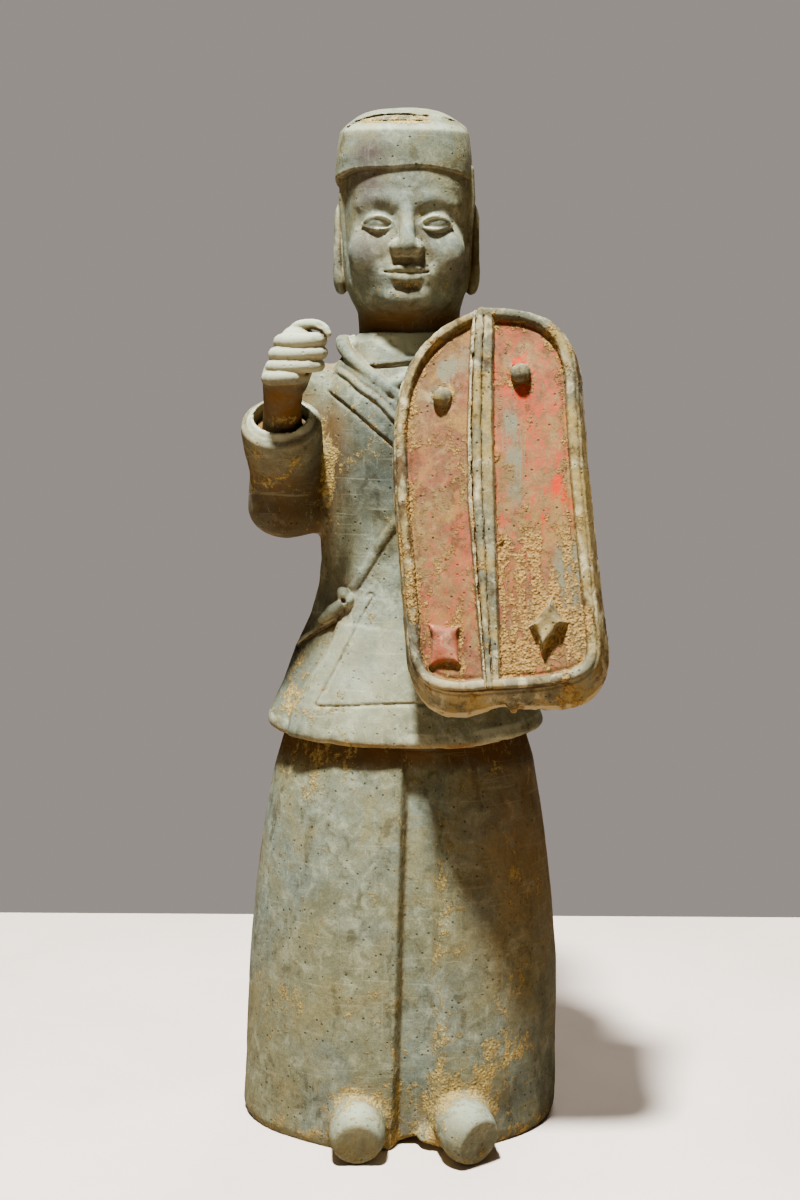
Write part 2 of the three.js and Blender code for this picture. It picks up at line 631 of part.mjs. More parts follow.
const figure = new THREE.Group();
figure.name = 'clay_warrior';
figure.add(piece('body', makeBody(), CLAY_GREY));
figure.add(piece('head', makeHead(), CLAY_GREY));
figure.add(piece('right_hand', makeRightHand(), CLAY_WARM));
figure.add(piece('left_hand', makeLeftHand(), CLAY_WARM));
const shield = piece('shield', makeShield(), CLAY_PAINT);
shield.applyMatrix4(shieldPlace);
figure.add(shield);

export default figure;
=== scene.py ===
import math

import bpy
import numpy as np
from mathutils import Matrix, Vector


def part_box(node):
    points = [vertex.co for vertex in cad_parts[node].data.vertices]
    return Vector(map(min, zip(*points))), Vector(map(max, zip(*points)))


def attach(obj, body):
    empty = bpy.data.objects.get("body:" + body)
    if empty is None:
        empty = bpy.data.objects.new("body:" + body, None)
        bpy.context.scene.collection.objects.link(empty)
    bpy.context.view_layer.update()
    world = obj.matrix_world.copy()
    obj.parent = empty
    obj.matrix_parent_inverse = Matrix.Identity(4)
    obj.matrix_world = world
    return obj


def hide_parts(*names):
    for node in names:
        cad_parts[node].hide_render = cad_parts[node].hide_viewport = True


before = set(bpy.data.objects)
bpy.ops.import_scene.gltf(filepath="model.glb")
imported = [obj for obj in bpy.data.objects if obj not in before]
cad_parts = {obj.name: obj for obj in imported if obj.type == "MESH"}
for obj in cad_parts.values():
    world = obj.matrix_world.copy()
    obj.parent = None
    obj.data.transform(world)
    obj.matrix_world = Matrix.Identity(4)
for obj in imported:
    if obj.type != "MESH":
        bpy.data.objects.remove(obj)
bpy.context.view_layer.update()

bl_info = {
    "name": "Clay Warrior",
    "version": (1, 0, 0),
    "blender": (4, 5, 0),
    "location": "3D View > Sidebar > Clay Warrior",
    "description": "Sculpts the clay warrior with its shield over the packed solids",
    "category": "Object",
}

MM = 0.001
TRIANGLES = {"robe": 176000, "jacket": 196000, "head": 180000, "fist": 60000, "shield": 190000}
ROBE_TOP = 238
JACKET_FOOT = 227.2
FLOOR_BACK = 0.4
CAMERA_PLACE = (-0.0012, -0.983, 0.398)
CAMERA_DIP = 5.35
CAMERA_ROLL = 0.35


# Shaping in the clay: every form gives the distance to its skin in mm, below zero inside

def ramp(value, start, end):
    """A soft step from 0 at start to 1 at end"""
    t = np.clip((value - start) / (end - start), 0.0, 1.0)
    return t * t * (3.0 - 2.0 * t)


def bell(value, centre, width):
    """A soft hump of height one"""
    return np.exp(-((value - centre) / width) ** 2)


def add(a, b, blend=0.0):
    """Clay added to clay, with a fillet"""
    if blend <= 0.0:
        return np.minimum(a, b)
    h = np.clip(0.5 + 0.5 * (b - a) / blend, 0.0, 1.0)
    return b + (a - b) * h - blend * h * (1.0 - h)


def carve(a, b, blend=0.0):
    """Clay taken away, with a softened edge"""
    return -add(-a, b, blend)


def keep(a, b, blend=0.0):
    """Only the clay that both forms hold"""
    return -add(-a, -b, blend)


def column(point):
    return np.asarray(point, np.float32)[:, None]


def rod(at, start, end, radius, end_radius=None):
    """A round rod that may taper"""
    end_radius = radius if end_radius is None else end_radius
    start = column(start)
    run = column(end) - start
    offset = at - start
    t = np.clip((offset * run).sum(0) / float((run * run).sum()), 0.0, 1.0)
    gap = offset - run * t
    return np.sqrt((gap * gap).sum(0)) - (radius + (end_radius - radius) * t)


def roll(at, points, radii):
    """A roll of clay laid along points, its thickness read evenly from the radii"""
    radii = np.atleast_1d(radii)
    radii = np.interp(np.linspace(0, 1, len(points)), np.linspace(0, 1, len(radii)), radii)
    shape = None
    for k in range(len(points) - 1):
        part = rod(at, points[k], points[k + 1], radii[k], radii[k + 1])
        shape = part if shape is None else np.minimum(shape, part)
    return shape


def pellet(at, centre, size, turn=0.0, lean=0.0):
    """An oval lump, turned about the upright and leaned about the line of sight"""
    offset = at - column(centre)
    x, y, z = offset
    if turn:
        c, s = math.cos(turn), math.sin(turn)
        x, y = x * c + y * s, y * c - x * s
    if lean:
        c, s = math.cos(lean), math.sin(lean)
        x, z = x * c + z * s, z * c - x * s
    a, b, c = size
    k = np.sqrt((x / a) ** 2 + (y / b) ** 2 + (z / c) ** 2)
    g = np.sqrt((x / a ** 2) ** 2 + (y / b ** 2) ** 2 + (z / c ** 2) ** 2) + 1e-6
    return np.where(k < 0.3, -0.7 * min(size), k * (k - 1.0) / g)


def slab(at, centre, half, soften=0.0):
    """A block with rounded corners"""
    q = np.abs(at - column(centre)) - column(half) + soften
    outside = np.sqrt((np.maximum(q, 0.0) ** 2).sum(0))
    return outside + np.minimum(q.max(0), 0.0) - soften


def oval(x, y, half_wide, front, back, centre, power):
    """Distance to a squared oval at each level"""
    middle = 0.5 * (front + back)
    half_deep = 0.5 * (back - front)
    u = np.abs(x - centre) / half_wide
    v = np.abs(y - middle) / half_deep
    r = np.maximum((u ** power + v ** power) ** (1.0 / power), 0.08)
    gu = (u / r) ** (power - 1.0) / half_wide
    gv = (v / r) ** (power - 1.0) / half_deep
    return (r - 1.0) / np.sqrt(gu * gu + gv * gv + 1e-9)


def within(shape, at, low, high, change):
    """Works a change on the points inside a box alone, to save time"""
    x, y, z = at
    mask = ((x > low[0]) & (x < high[0]) & (y > low[1]) & (y < high[1])
            & (z > low[2]) & (z < high[2]))
    index = np.flatnonzero(mask)
    if len(index):
        shape[index] = change(shape[index], at[:, index])
    return shape


def curves(rows, soften=4.0):
    """Rows of a level and its sizes, made into smooth curves over the level"""
    rows = np.array(rows, float)
    level = np.arange(rows[0, 0], rows[-1, 0] + 0.25, 0.5)
    reach = int(soften / 0.5)
    weights = np.hanning(2 * reach + 3)[1:-1]
    weights /= weights.sum()
    smooth = []
    for column_values in rows[:, 1:].T:
        values = np.interp(level, rows[:, 0], column_values)
        first = 2 * values[0] - values[reach:0:-1]
        last = 2 * values[-1] - values[-2:-reach - 2:-1]
        smooth.append(np.convolve(np.concatenate([first, values, last]), weights, "valid"))

    def read(height):
        return [np.interp(height, level, values).astype(np.float32) for values in smooth]
    return read


# Unevenness of hand-worked clay

LATTICE = np.random.default_rng(7).random((32, 32, 32)).astype(np.float32)


def cloud(at, size, seed=0, layers=2):
    """Soft random values from 0 to 1, with patches about the given size in mm"""
    total = 0.0
    weight = 1.0
    whole = 0.0
    size = np.broadcast_to(np.asarray(size, np.float32), (3,))
    for layer in range(layers):
        p = at / column(size) * (2.03 ** layer) + column((seed * 3.7, seed * 7.1, seed * 5.3))
        base = np.floor(p)
        f = p - base
        f = f * f * (3.0 - 2.0 * f)
        i = base.astype(np.int32) & 31
        j = (i + 1) & 31
        fx, fy, fz = f
        low = (LATTICE[i[0], i[1], i[2]] * (1 - fx) + LATTICE[j[0], i[1], i[2]] * fx) * (1 - fy) \
            + (LATTICE[i[0], j[1], i[2]] * (1 - fx) + LATTICE[j[0], j[1], i[2]] * fx) * fy
        high = (LATTICE[i[0], i[1], j[2]] * (1 - fx) + LATTICE[j[0], i[1], j[2]] * fx) * (1 - fy) \
            + (LATTICE[i[0], j[1], j[2]] * (1 - fx) + LATTICE[j[0], j[1], j[2]] * fx) * fy
        total = total + weight * (low * (1 - fz) + high * fz)
        whole += weight
        weight *= 0.55
    return total / whole


# Drawing on a flat sheet in front of a piece: grooves, rolls and laid edges

class Sheet:
    """Heights in mm over a flat area, kept every half millimetre or so"""

    def __init__(self, low, high, pitch=0.5):
        self.low = low
        self.pitch = pitch
        counts = [int((b - a) / pitch) + 1 for a, b in zip(low, high)]
        self.u = (low[0] + pitch * np.arange(counts[0], dtype=np.float32))[:, None]
        self.v = (low[1] + pitch * np.arange(counts[1], dtype=np.float32))[None, :]
        self.height = np.zeros(counts, np.float32)

    def line(self, points, closed=False):
        """Distance to a line, which side of it, and distance along it"""
        points = np.array(points, float)
        if closed:
            points = np.vstack([points, points[:1]])
        best = np.full(self.height.shape, 1e9, np.float32)
        side = np.zeros_like(best)
        along = np.zeros_like(best)
        run = 0.0
        for (ax, ay), (bx, by) in zip(points[:-1], points[1:]):
            dx, dy = bx - ax, by - ay
            length = math.hypot(dx, dy)
            if length < 1e-6:
                continue
            t = np.clip(((self.u - ax) * dx + (self.v - ay) * dy) / length ** 2, 0.0, 1.0)
            gap = np.hypot(self.u - ax - t * dx, self.v - ay - t * dy)
            closer = gap < best
            best = np.where(closer, gap, best)
            turned = dx * (self.v - ay) - dy * (self.u - ax)
            side = np.where(closer, np.sign(turned), side)
            along = np.where(closer, run + t * length, along)
            run += length
        return best, side, along, run

    def groove(self, points, depth, width, taper=4.0):
        gap, _, along, run = self.line(soft_line(points))
        ends = ramp(along, 0, taper) * ramp(run - along, 0, taper)
        self.height -= depth * np.exp(-(gap / width) ** 2) * ends

    def bead(self, points, rise, width, taper=6.0):
        gap, _, along, run = self.line(soft_line(points))
        ends = ramp(along, 0, taper) * ramp(run - along, 0, taper)
        self.height += rise * np.sqrt(np.maximum(0.0, 1.0 - (gap / width) ** 2)) * ends

    def ledge(self, points, rise, reach, left=True, sharp=0.9, taper=6.0):
        """A laid edge: the clay on one side stands higher and sinks back over its reach"""
        gap, side, along, run = self.line(soft_line(points))
        signed = gap * side * (1 if left else -1)
        ends = ramp(along, -0.1, taper) * ramp(run - along, -0.1, taper)
        fall = np.exp(-np.maximum(signed, 0) / reach)
        self.height += rise * ramp(signed, -sharp, sharp) * fall * ends

    def read(self, u, v):
        return bilinear(self.height, (u - self.low[0]) / self.pitch, (v - self.low[1]) / self.pitch)


def bilinear(values, u, v):
    u = np.clip(u, 0, values.shape[0] - 1.001)
    v = np.clip(v, 0, values.shape[1] - 1.001)
    i = u.astype(np.int32)
    j = v.astype(np.int32)
    fu = u - i
    fv = v - j
    return ((values[i, j] * (1 - fu) + values[i + 1, j] * fu) * (1 - fv)
            + (values[i, j + 1] * (1 - fu) + values[i + 1, j + 1] * fu) * fv)


def soft_line(points, rounds=2):
    """The same line with its corners worn round"""
    points = np.array(points, float)
    for _ in range(rounds):
        if len(points) < 3:
            break
        near = 0.75 * points[:-1] + 0.25 * points[1:]
        far = 0.25 * points[:-1] + 0.75 * points[1:]
        middle = np.stack([near, far], 1).reshape(-1, points.shape[1])
        points = np.vstack([points[:1], middle[1:-1], points[-1:]])
    return points


# From a form to a mesh

def worked(shape, at, chunk=400000):
    """The form's distance at many points"""
    out = np.empty(at.shape[1], np.float32)
    for start in range(0, at.shape[1], chunk):
        out[start:start + chunk] = shape(at[:, start:start + chunk])
    return out


def skin(shape, low, high, step):
    """Points in mm and quads of the form's skin"""
    block = 4
    low = np.array(low, float)
    counts = np.ceil((np.array(high, float) - low) / (step * block)).astype(int)
    centres = [low[a] + (np.arange(counts[a]) + 0.5) * step * block for a in range(3)]
    grid = np.stack(np.meshgrid(*centres, indexing="ij")).reshape(3, -1).astype(np.float32)
    coarse = worked(shape, grid).reshape(counts)
    near = np.abs(coarse) < step * block * 0.87 + 2.2
    values = np.where(coarse < 0, -9.0, 9.0).astype(np.float32)
    for axis in range(3):
        values = np.repeat(values, block, axis)
        near = np.repeat(near, block, axis)
    values = np.pad(values, ((0, 1),) * 3, mode="edge")
    near = np.pad(near, ((0, 1),) * 3, mode="edge")
    index = np.flatnonzero(near)
    flat = values.reshape(-1)
    for start in range(0, len(index), 400000):
        part = index[start:start + 400000]
        at = np.stack(np.unravel_index(part, values.shape)).astype(np.float32)
        at = at * np.float32(step) + low[:, None].astype(np.float32)
        flat[part] = shape(at)
    inside = values < 0

    cells = [n - 1 for n in values.shape]
    total = np.zeros(cells, np.uint8)
    for i in (0, 1):
        for j in (0, 1):
            for k in (0, 1):
                total += inside[i:i + cells[0], j:j + cells[1], k:k + cells[2]]
    where = np.flatnonzero((total > 0) & (total < 8))
    i, j, k = np.unravel_index(where, cells)
    corner = {}
    for a in (0, 1):
        for b in (0, 1):
            for c in (0, 1):
                corner[a, b, c] = values[i + a, j + b, k + c]
    place = np.zeros((3, len(where)), np.float32)
    crossings = np.zeros(len(where), np.float32)
    slope = np.zeros((3, len(where)), np.float32)
    for axis in range(3):
        others = [o for o in range(3) if o != axis]
        for b in (0, 1):
            for c in (0, 1):
                key = [0, 0, 0]
                key[others[0]], key[others[1]] = b, c
                first = corner[tuple(key)]
                key[axis] = 1
                second = corner[tuple(key)]
                slope[axis] += second - first
                crosses = (first < 0) != (second < 0)
                t = np.where(crosses, first / np.where(crosses, first - second, 1.0), 0.0)
                place[axis] += t
                place[others[0]] += np.where(crosses, b, 0)
                place[others[1]] += np.where(crosses, c, 0)
                crossings += crosses
    place /= crossings
    points = (np.stack([i, j, k]) + place) * np.float32(step) + low[:, None].astype(np.float32)
    slope /= np.sqrt((slope ** 2).sum(0)) + 1e-6
    gap = worked(shape, points)
    points -= slope * np.clip(gap, -0.5 * step, 0.5 * step)

    number = np.full(cells, -1, np.int32)
    number.reshape(-1)[where] = np.arange(len(where), dtype=np.int32)
    faces = []
    for axis in range(3):
        b, c = (axis + 1) % 3, (axis + 2) % 3
        lower = [slice(None)] * 3
        upper = [slice(None)] * 3
        lower[axis] = slice(0, -1)
        upper[axis] = slice(1, None)
        changes = inside[tuple(lower)] != inside[tuple(upper)]
        trim = [slice(None)] * 3
        trim[b] = slice(1, -1)
        trim[c] = slice(1, -1)
        edge = np.stack(np.nonzero(changes[tuple(trim)]))
        edge[b] += 1
        edge[c] += 1
        ring = []
        for db, dc in ((-1, -1), (0, -1), (0, 0), (-1, 0)):
            cell = edge.copy()
            cell[b] += db
            cell[c] += dc
            ring.append(number[tuple(cell)])
        quad = np.stack(ring, 1)
        outward = inside[tuple(edge)]
        faces.append(np.where(outward[:, None], quad, quad[:, ::-1]))
    return points.T, np.vstack(faces)


def object_from(name, points, faces):
    """A Blender object from points in mm and quads"""
    mesh = bpy.data.meshes.new(name)
    mesh.vertices.add(len(points))
    mesh.vertices.foreach_set("co", (points * MM).astype(np.float32).ravel())
    mesh.loops.add(faces.size)
    mesh.loops.foreach_set("vertex_index", faces.astype(np.int32).ravel())
    mesh.polygons.add(len(faces))
    mesh.polygons.foreach_set("loop_start", np.arange(0, faces.size, 4, dtype=np.int32))
    mesh.update(calc_edges=True)
    obj = bpy.data.objects.new(name, mesh)
    bpy.context.scene.collection.objects.link(obj)
    return obj


def thin_out(obj, triangles):
    """Fewer faces where the skin is flat"""
    have = 2 * len(obj.data.polygons)
    if have <= triangles:
        return
    modifier = obj.modifiers.new("thin_out", "DECIMATE")
    modifier.ratio = triangles / have
    graph = bpy.context.evaluated_depsgraph_get()
    lighter = bpy.data.meshes.new_from_object(obj.evaluated_get(graph))
    obj.modifiers.clear()
    old = obj.data
    obj.data = lighter
    bpy.data.meshes.remove(old)
    lighter.name = obj.name


def read_points(mesh):
    at = np.empty(len(mesh.vertices) * 3, np.float32)
    mesh.vertices.foreach_get("co", at)
    out = np.empty(len(mesh.vertices) * 3, np.float32)
    mesh.vertex_normals.foreach_get("vector", out)
    return at.reshape(-1, 3).T / MM, out.reshape(-1, 3).T


def write_points(mesh, at):
    mesh.vertices.foreach_set("co", (at.T * MM).astype(np.float32).ravel())
    mesh.update()


def note(mesh, name, values):
    """A value kept at every point, for the materials"""
    layer = mesh.attributes.new(name, "FLOAT", "POINT")
    layer.data.foreach_set("value", np.ascontiguousarray(values, dtype=np.float32))


def sculpt(name, shape, low, high, step, triangles, roughen=None, marks=None):
    """Makes one piece: skin, fewer faces, hand-worked unevenness and the notes for its material"""
    points, faces = skin(shape, low, high, step)
    obj = object_from(name, points, faces)
    thin_out(obj, triangles)
    mesh = obj.data
    at, out = read_points(mesh)
    hollow = np.clip(1.0 - worked(shape, at + 3.5 * out) / 3.5, 0.0, 1.0)
    dell = np.clip(1.0 - worked(shape, at + 11.0 * out) / 11.0, 0.0, 1.0)
    proud = np.clip(1.0 + worked(shape, at - 2.6 * out) / 2.6, 0.0, 1.0)
    notes = {"hollow": hollow, "dell": dell, "proud": proud}
    if marks:
        notes.update(marks(at, out, notes))
    if roughen:
        at = at + out * roughen(at, out, notes)
        write_points(mesh, at)
    for key, values in notes.items():
        note(mesh, key, values)
    mesh.polygons.foreach_set("use_smooth", np.ones(len(mesh.polygons), bool))
    mesh.update()
    return obj


# Robe: the long skirt with the two toes

robe_curve = curves([
    (-6, 89, 70, 0), (0, 92.0, 72.6, 0), (5, 93.6, 74, 0), (45, 93.3, 74, 1.3), (90, 92, 71.5, 1.9),
    (125, 89.4, 69, 1.8), (154, 86, 66, 2), (190, 80.5, 61.5, 2), (212, 76.5, 58.5, 2.2),
    (225, 72.5, 56, 2.2), (242, 68, 53, 2.2),
], 3.0)


def flute_edges(z):
    """Sideways places of the front recess's two edges at each height"""
    down = 1 - z / 220
    return 1.2 - 5.5 * down, 23 - 4 * down ** 2


def flute_depth(x, z):
    """The recess down the front between the legs, sharp on the figure's right"""
    left, right = flute_edges(z)
    into = ramp(x, left - 1.4, left + 4.2)
    out = 1 - ramp(x, right - 6, right + 4)
    return 8.5 * into * out * ramp(226 - z, 0, 14)


def leg_swell(x, z):
    lobes = bell(x, -30, 26) + bell(x, 48, 26)
    return 3.2 * lobes * ramp(226 - z, 0, 60)


def toe(at, x, turn, size, face, depth):
    """A toe pressed out from under the hem, its tip cut flat"""
    form = roll(at, [(x - turn * 34, -50, 14), (x - turn * 15, -70, 16), (x, -88, size)],
                [size, size * 1.02, size * 0.99])
    face = np.array(face, float)
    face /= np.linalg.norm(face)
    tip = (at - column((x, -88, size))).T @ face.astype(np.float32)
    return keep(form, tip - depth, 0.9)


def robe_form(at):
    x, y, z = at
    wide, deep, middle = robe_curve(z)
    form = oval(x, y, wide, -deep, deep, middle, 2.1)
    facing = np.clip(-y / deep * 1.6, 0, 1)
    form = form + (flute_depth(x, z) - leg_swell(x, z)) * facing
    form = form + 0.6 * np.sin(x * 0.11 + 1.3) * ramp(40 - z, 0, 30)

    def feet(shape, p):
        left = toe(p, -23.3, 0.02, 15.6, (0.03, -0.97, -0.24), 9.2)
        right = toe(p, 38.5, 0.18, 16.4, (0.62, -0.76, -0.2), 9.6)
        shape = add(shape, left, 5.0)
        shape = add(shape, right, 5.0)
        shape = add(shape, pellet(p, (17.5, -69, 3), (7, 6, 9)), 6.0)
        return shape
    form = within(form, at, (-50, -120, -8), (70, -40, 45), feet)

    def arch(shape, p):
        return carve(shape, rod(p, (12, -120, -17.6), (12, -40, -17.6), 22.0), 3.0)
    form = within(form, at, (-14, -95, -8), (40, -45, 22), arch)
    form = keep(form, -z, 1.6)
    return keep(form, z - ROBE_TOP)


# Jacket: torso, sleeves, lapels, wrapped front and flared hem

jacket_curve = curves([
    (220, 78.4, -60.4, 60.4, 2.2), (227, 80.2, -61.8, 61.8, 2.2), (231, 81.5, -62.7, 62.7, 2.2),
    (237, 80.6, -61.4, 61.4, 2.2), (258, 72.3, -56, 56, 2.3), (278, 65, -51.5, 51.5, 2.3),
    (298, 56.4, -46.2, 46.2, 2.4), (316, 51.5, -43, 43, 2.5), (331, 49.9, -41.5, 41.5, 2.5),
    (360, 51.5, -41, 41, 2.5), (395, 53, -41, 41, 2.5), (414, 52, -39.5, 39.5, 2.5),
    (428, 49, -36.5, 37, 2.5), (440, 43.5, -33.5, 37.5, 2.6), (450, 38.5, -32.5, 38.5, 3),
    (458, 35.5, -31.5, 37.5, 3), (470, 31, -28, 34, 3),
], 3.0)
HEM_LIFT = ((225, 6), (232, 6), (238, 4), (258, 0), (600, 0))

RIGHT_ARM = {"shoulder": (-45, 2, 423), "elbow": (-66, -9, 366.5), "cuff": (-68, -50, 410),
             "axis": (-0.03, -0.65, 0.76)}
LEFT_ARM = {"shoulder": (49, 2, 423), "elbow": (68, 4, 366), "cuff": (57, -37, 358.5),
            "axis": (-0.27, -0.95, -0.12)}
CUFF_RADIUS = 22.5
CUFF_HOLLOW = 5.0
SOCKET_RADIUS = 15.5
SOCKET_DEPTH = 18.0


def unit(vector):
    vector = np.array(vector, float)
    return vector / np.linalg.norm(vector)


def draw_jacket():
    """Lapels, laid edges and scratched borders on the front of the jacket"""
    sheet = Sheet((-95, 215), (95, 470), 0.5)
    lapel = [(-40, 441), (-31, 435.8), (-25.7, 430), (-16.6, 424.3), (-9.2, 417.5), (-5.8, 413),
             (6, 402), (24, 386), (40, 370)]
    scratch = [(-46, 430), (-39.7, 425), (-30.8, 418.1), (-22.7, 411.3), (-14.7, 404.6),
               (-6.8, 397.9), (6, 386), (22, 370), (38, 352)]
    sheet.ledge([(-42, 447), (-33.5, 446), (-29.2, 447.6), (-24.8, 444.6), (-16.7, 438.4),
                 (-9.3, 433.3), (-3.6, 428.8), (10, 417), (30, 398), (46, 380)],
                2.6, 40, left=False, sharp=0.7)
    sheet.bead(lapel, 1.3, 2.0)
    sheet.groove([(x - 1.4, z - 1.6) for x, z in lapel], 0.8, 1.0)
    sheet.groove([(x + 1.6, z + 1.8) for x, z in lapel], 0.7, 1.1)
    sheet.groove(scratch, 1.5, 0.85, 2.0)
    sheet.ledge(scratch, 0.8, 16, left=True, sharp=0.8)
    sheet.ledge([(-26, 441.5), (-22.5, 443.2), (-16.2, 442.0), (0.8, 443.8), (22, 447)], 1.5, 4.5,
                left=True, sharp=0.8)
    sheet.groove([(-24, 441.8), (-16.2, 440.8), (0.8, 442.4), (20, 445.5)], 0.9, 1.0)
    sheet.groove([(-8.6, 425.6), (-5.4, 422.8)], 1.6, 1.1, 0.5)
    wrap = [(50, 386), (38, 379), (24, 371), (8, 361.6), (-2, 356), (-7.3, 349.5), (-13.1, 341.1),
            (-19.5, 330.2), (-26.4, 318.3), (-31, 312.5)]
    sheet.ledge(wrap, 0.5, 18, left=False, sharp=1.5)
    sheet.bead(wrap, 1.4, 2.6)
    sheet.groove([(-36.0, 296.5), (-38.5, 296.2), (-45.9, 291.3), (-55.6, 284.4), (-62.0, 277.3)],
                 1.9, 1.3, 1.5)
    sheet.ledge([(-36, 297.5), (-45.9, 292.3), (-55.6, 285.4), (-63.5, 277.3)], 1.2, 12, left=False)
    panel = [(-37.2, 298.0), (-38.2, 290.6), (-43.7, 277.4), (-52.1, 264.5), (-58.9, 253.9),
             (-64.0, 243.7), (-65.2, 226)]
    sheet.ledge(panel, 2.2, 18, left=True, sharp=0.8, taper=2.0)
    sheet.groove([(x - 1.0, z) for x, z in panel], 0.9, 1.2)
    sheet.groove([(-15.6, 311.8), (-21.2, 302.9), (-29.4, 286.3), (-37.6, 269.8), (-48.8, 249.8)],
                 1.1, 0.75, 1.0)
    sheet.groove([(-49.2, 249.6), (-27.3, 250.6), (-19.0, 251.8), (-0.8, 252.5), (17.1, 252.7),
                  (40, 252.0)], 1.15, 0.8, 1.0)
    sheet.groove([(-41, 247.4), (-27.3, 248.9)], 0.5, 0.7, 2.0)
    sheet.groove([(-19.9, 311.2), (-18.0, 314.0), (-15.0, 311.2)], 1.0, 0.8, 0.5)
    for k, slant in enumerate((-0.4, 0.1, -0.2)):
        x = -35.8 + 2.4 * k
        sheet.groove([(x, 307 - k), (x + slant * 3, 299 - k)], 0.8, 0.8, 2.0)
    return sheet


JACKET_SHEET = draw_jacket()


def arm_form(at, arm, bulge):
    shoulder, elbow = np.array(arm["shoulder"], float), np.array(arm["elbow"], float)
    cuff, axis = np.array(arm["cuff"], float), unit(arm["axis"])
    upper = rod(at, shoulder, shoulder * 0.45 + elbow * 0.55, 20, 21.3)
    upper = np.minimum(upper, rod(at, shoulder * 0.45 + elbow * 0.55, elbow, 21.3, 21.8))
    inner = elbow + axis * 12
    mouth = cuff - axis * 10
    fore = rod(at, inner, mouth, 21.3, 21.6)
    form = add(upper, fore, 9.0)
    end = (at - column(cuff)).T @ axis.astype(np.float32)
    ring = np.sqrt(np.maximum(((at - column(cuff)) ** 2).sum(0) - end ** 2, 0))
    sleeve = keep(ring - (CUFF_RADIUS + 0.05 * np.minimum(end, 0) - 0.2), np.abs(end + 11) - 11, 2.6)
    form = add(form, sleeve, 3.0)
    if bulge:
        form = add(form, pellet(at, (-70, -14, 358), (17, 16, 12)), 10.0)
        form = add(form, pellet(at, (-52, -12, 356.5), (13, 13, 9)), 7.0)
        form = carve(form, rod(at, (-93, -24, 383), (-84, -32, 384.5), 2.4, 1.2), 2.4)
    hole = keep(ring - (SOCKET_RADIUS - 0.07 * end), -end - SOCKET_DEPTH, 0.8)
    return form, hole


def jacket_form(at):
    x, y, z = at
    lifted = np.interp(z, *zip(*HEM_LIFT)).astype(np.float32)
    level = z - lifted * np.clip(((x - 2) / 80) ** 2, 0, 1.1)
    wide, front, back, middle = jacket_curve(level)
    form = oval(x, y, wide, front, back, middle, 2.32)
    face = ramp(-y, 4, 13)
    form = form - JACKET_SHEET.read(x, z) * face
    wave = 0.5 * np.sin(x * 0.13 + 0.6) * ramp(262 - z, 0, 30)
    form = keep(form + wave, JACKET_FOOT + 0.5 * np.sin(x * 0.07 + 2.0) - level, 3.4)

    def under(shape, p):
        wide_p, front_p, back_p, middle_p = jacket_curve(p[2] * 0 + 231)
        lift_p = 6 * np.clip(((p[0] - 2) / 80) ** 2, 0, 1.1)
        gap = oval(p[0], p[1], wide_p - 4.2, front_p + 4.2, back_p - 4.2, middle_p, 2.32)
        gap = keep(gap, p[2] - lift_p - 234.5, 2.0)
        return carve(shape, gap, 1.4)
    form = within(form, at, (-100, -80, 215), (100, 80, 250), under)

    def right_side(shape, p):
        arm, hole = arm_form(p, RIGHT_ARM, True)
        shape = add(shape, arm, 6.5)
        shape = add(shape, pellet(p, (-55, 1, 432), (14, 15, 9), lean=0.35), 10.0)
        return carve(shape, hole, 1.2)
    form = within(form, at, (-112, -90, 322), (-22, 42, 462), right_side)

    def left_side(shape, p):
        arm, hole = arm_form(p, LEFT_ARM, False)
        shape = add(shape, arm, 7.5)
        shape = add(shape, pellet(p, (58, 1, 432), (14, 15, 9), lean=-0.35), 10.0)
        return carve(shape, hole, 1.2)
    form = within(form, at, (24, -80, 322), (112, 42, 462), left_side)

    def lapels(shape, p):
        under_lapel = roll(p, soft_line([
            (3, 37.5, 457), (26, 30, 457), (38.5, 6, 455), (34.5, -16, 450), (20, -29, 444),
            (2, -34.5, 436), (-8, -36.4, 429)]), 3.6)
        shape = add(shape, under_lapel, 1.6)
        over_lapel = roll(p, soft_line([
            (3, 38.5, 457.5), (-20, 32, 458), (-33.5, 10, 458.5), (-35.5, -6, 457),
            (-33.5, -17, 451.5), (-28, -26, 444.5), (-19, -32, 437.5), (-10, -35.6, 430.5),
            (-3, -37.4, 425), (10, -39.2, 412), (28, -38, 394), (44, -28, 374)]),
            [4.6, 4.8, 4.6, 4.0, 3.6, 3.2, 2.8, 2.4, 2.4])
        return add(shape, over_lapel, 1.4)
    form = within(form, at, (-62, -62, 352), (62, 60, 478), lapels)

    def knot(shape, p):
        shape = add(shape, pellet(p, (-33.5, -38.0, 312.5), (3.6, 3.4, 4.8), lean=0.5), 2.0)
        shape = add(shape, pellet(p, (-30.0, -38.6, 309.0), (2.6, 3.0, 4.0), lean=-0.5), 1.6)
        tail = roll(p, [(-34, -38.0, 308), (-39.5, -37.0, 303.0), (-46, -34, 297.5)], [2.6, 3.8, 2.4])
        shape = add(shape, tail, 1.8)
        hole = pellet(p, (-33.4, -42.0, 309.2), (1.3, 4.0, 2.0), lean=0.6)
        return carve(shape, hole, 0.8)
    form = within(form, at, (-60, -58, 284), (-18, -20, 328), knot)

    def neck_socket(shape, p):
        ring = np.sqrt((p[0] - 3) ** 2 + (p[1] - 2) ** 2)
        wide_left = 1.6 * ramp(-p[0], 12, 30) * ramp(p[2], 438, 452)
        hole = keep(ring - (31.9 + wide_left), 436 - p[2], 0.6)
        return carve(shape, hole, 0.9)
    form = within(form, at, (-42, -42, 430), (48, 46, 480), neck_socket)
    return keep(form, z - 461.6, 2.0)


# Head with its flat cap, and the neck that goes into the jacket

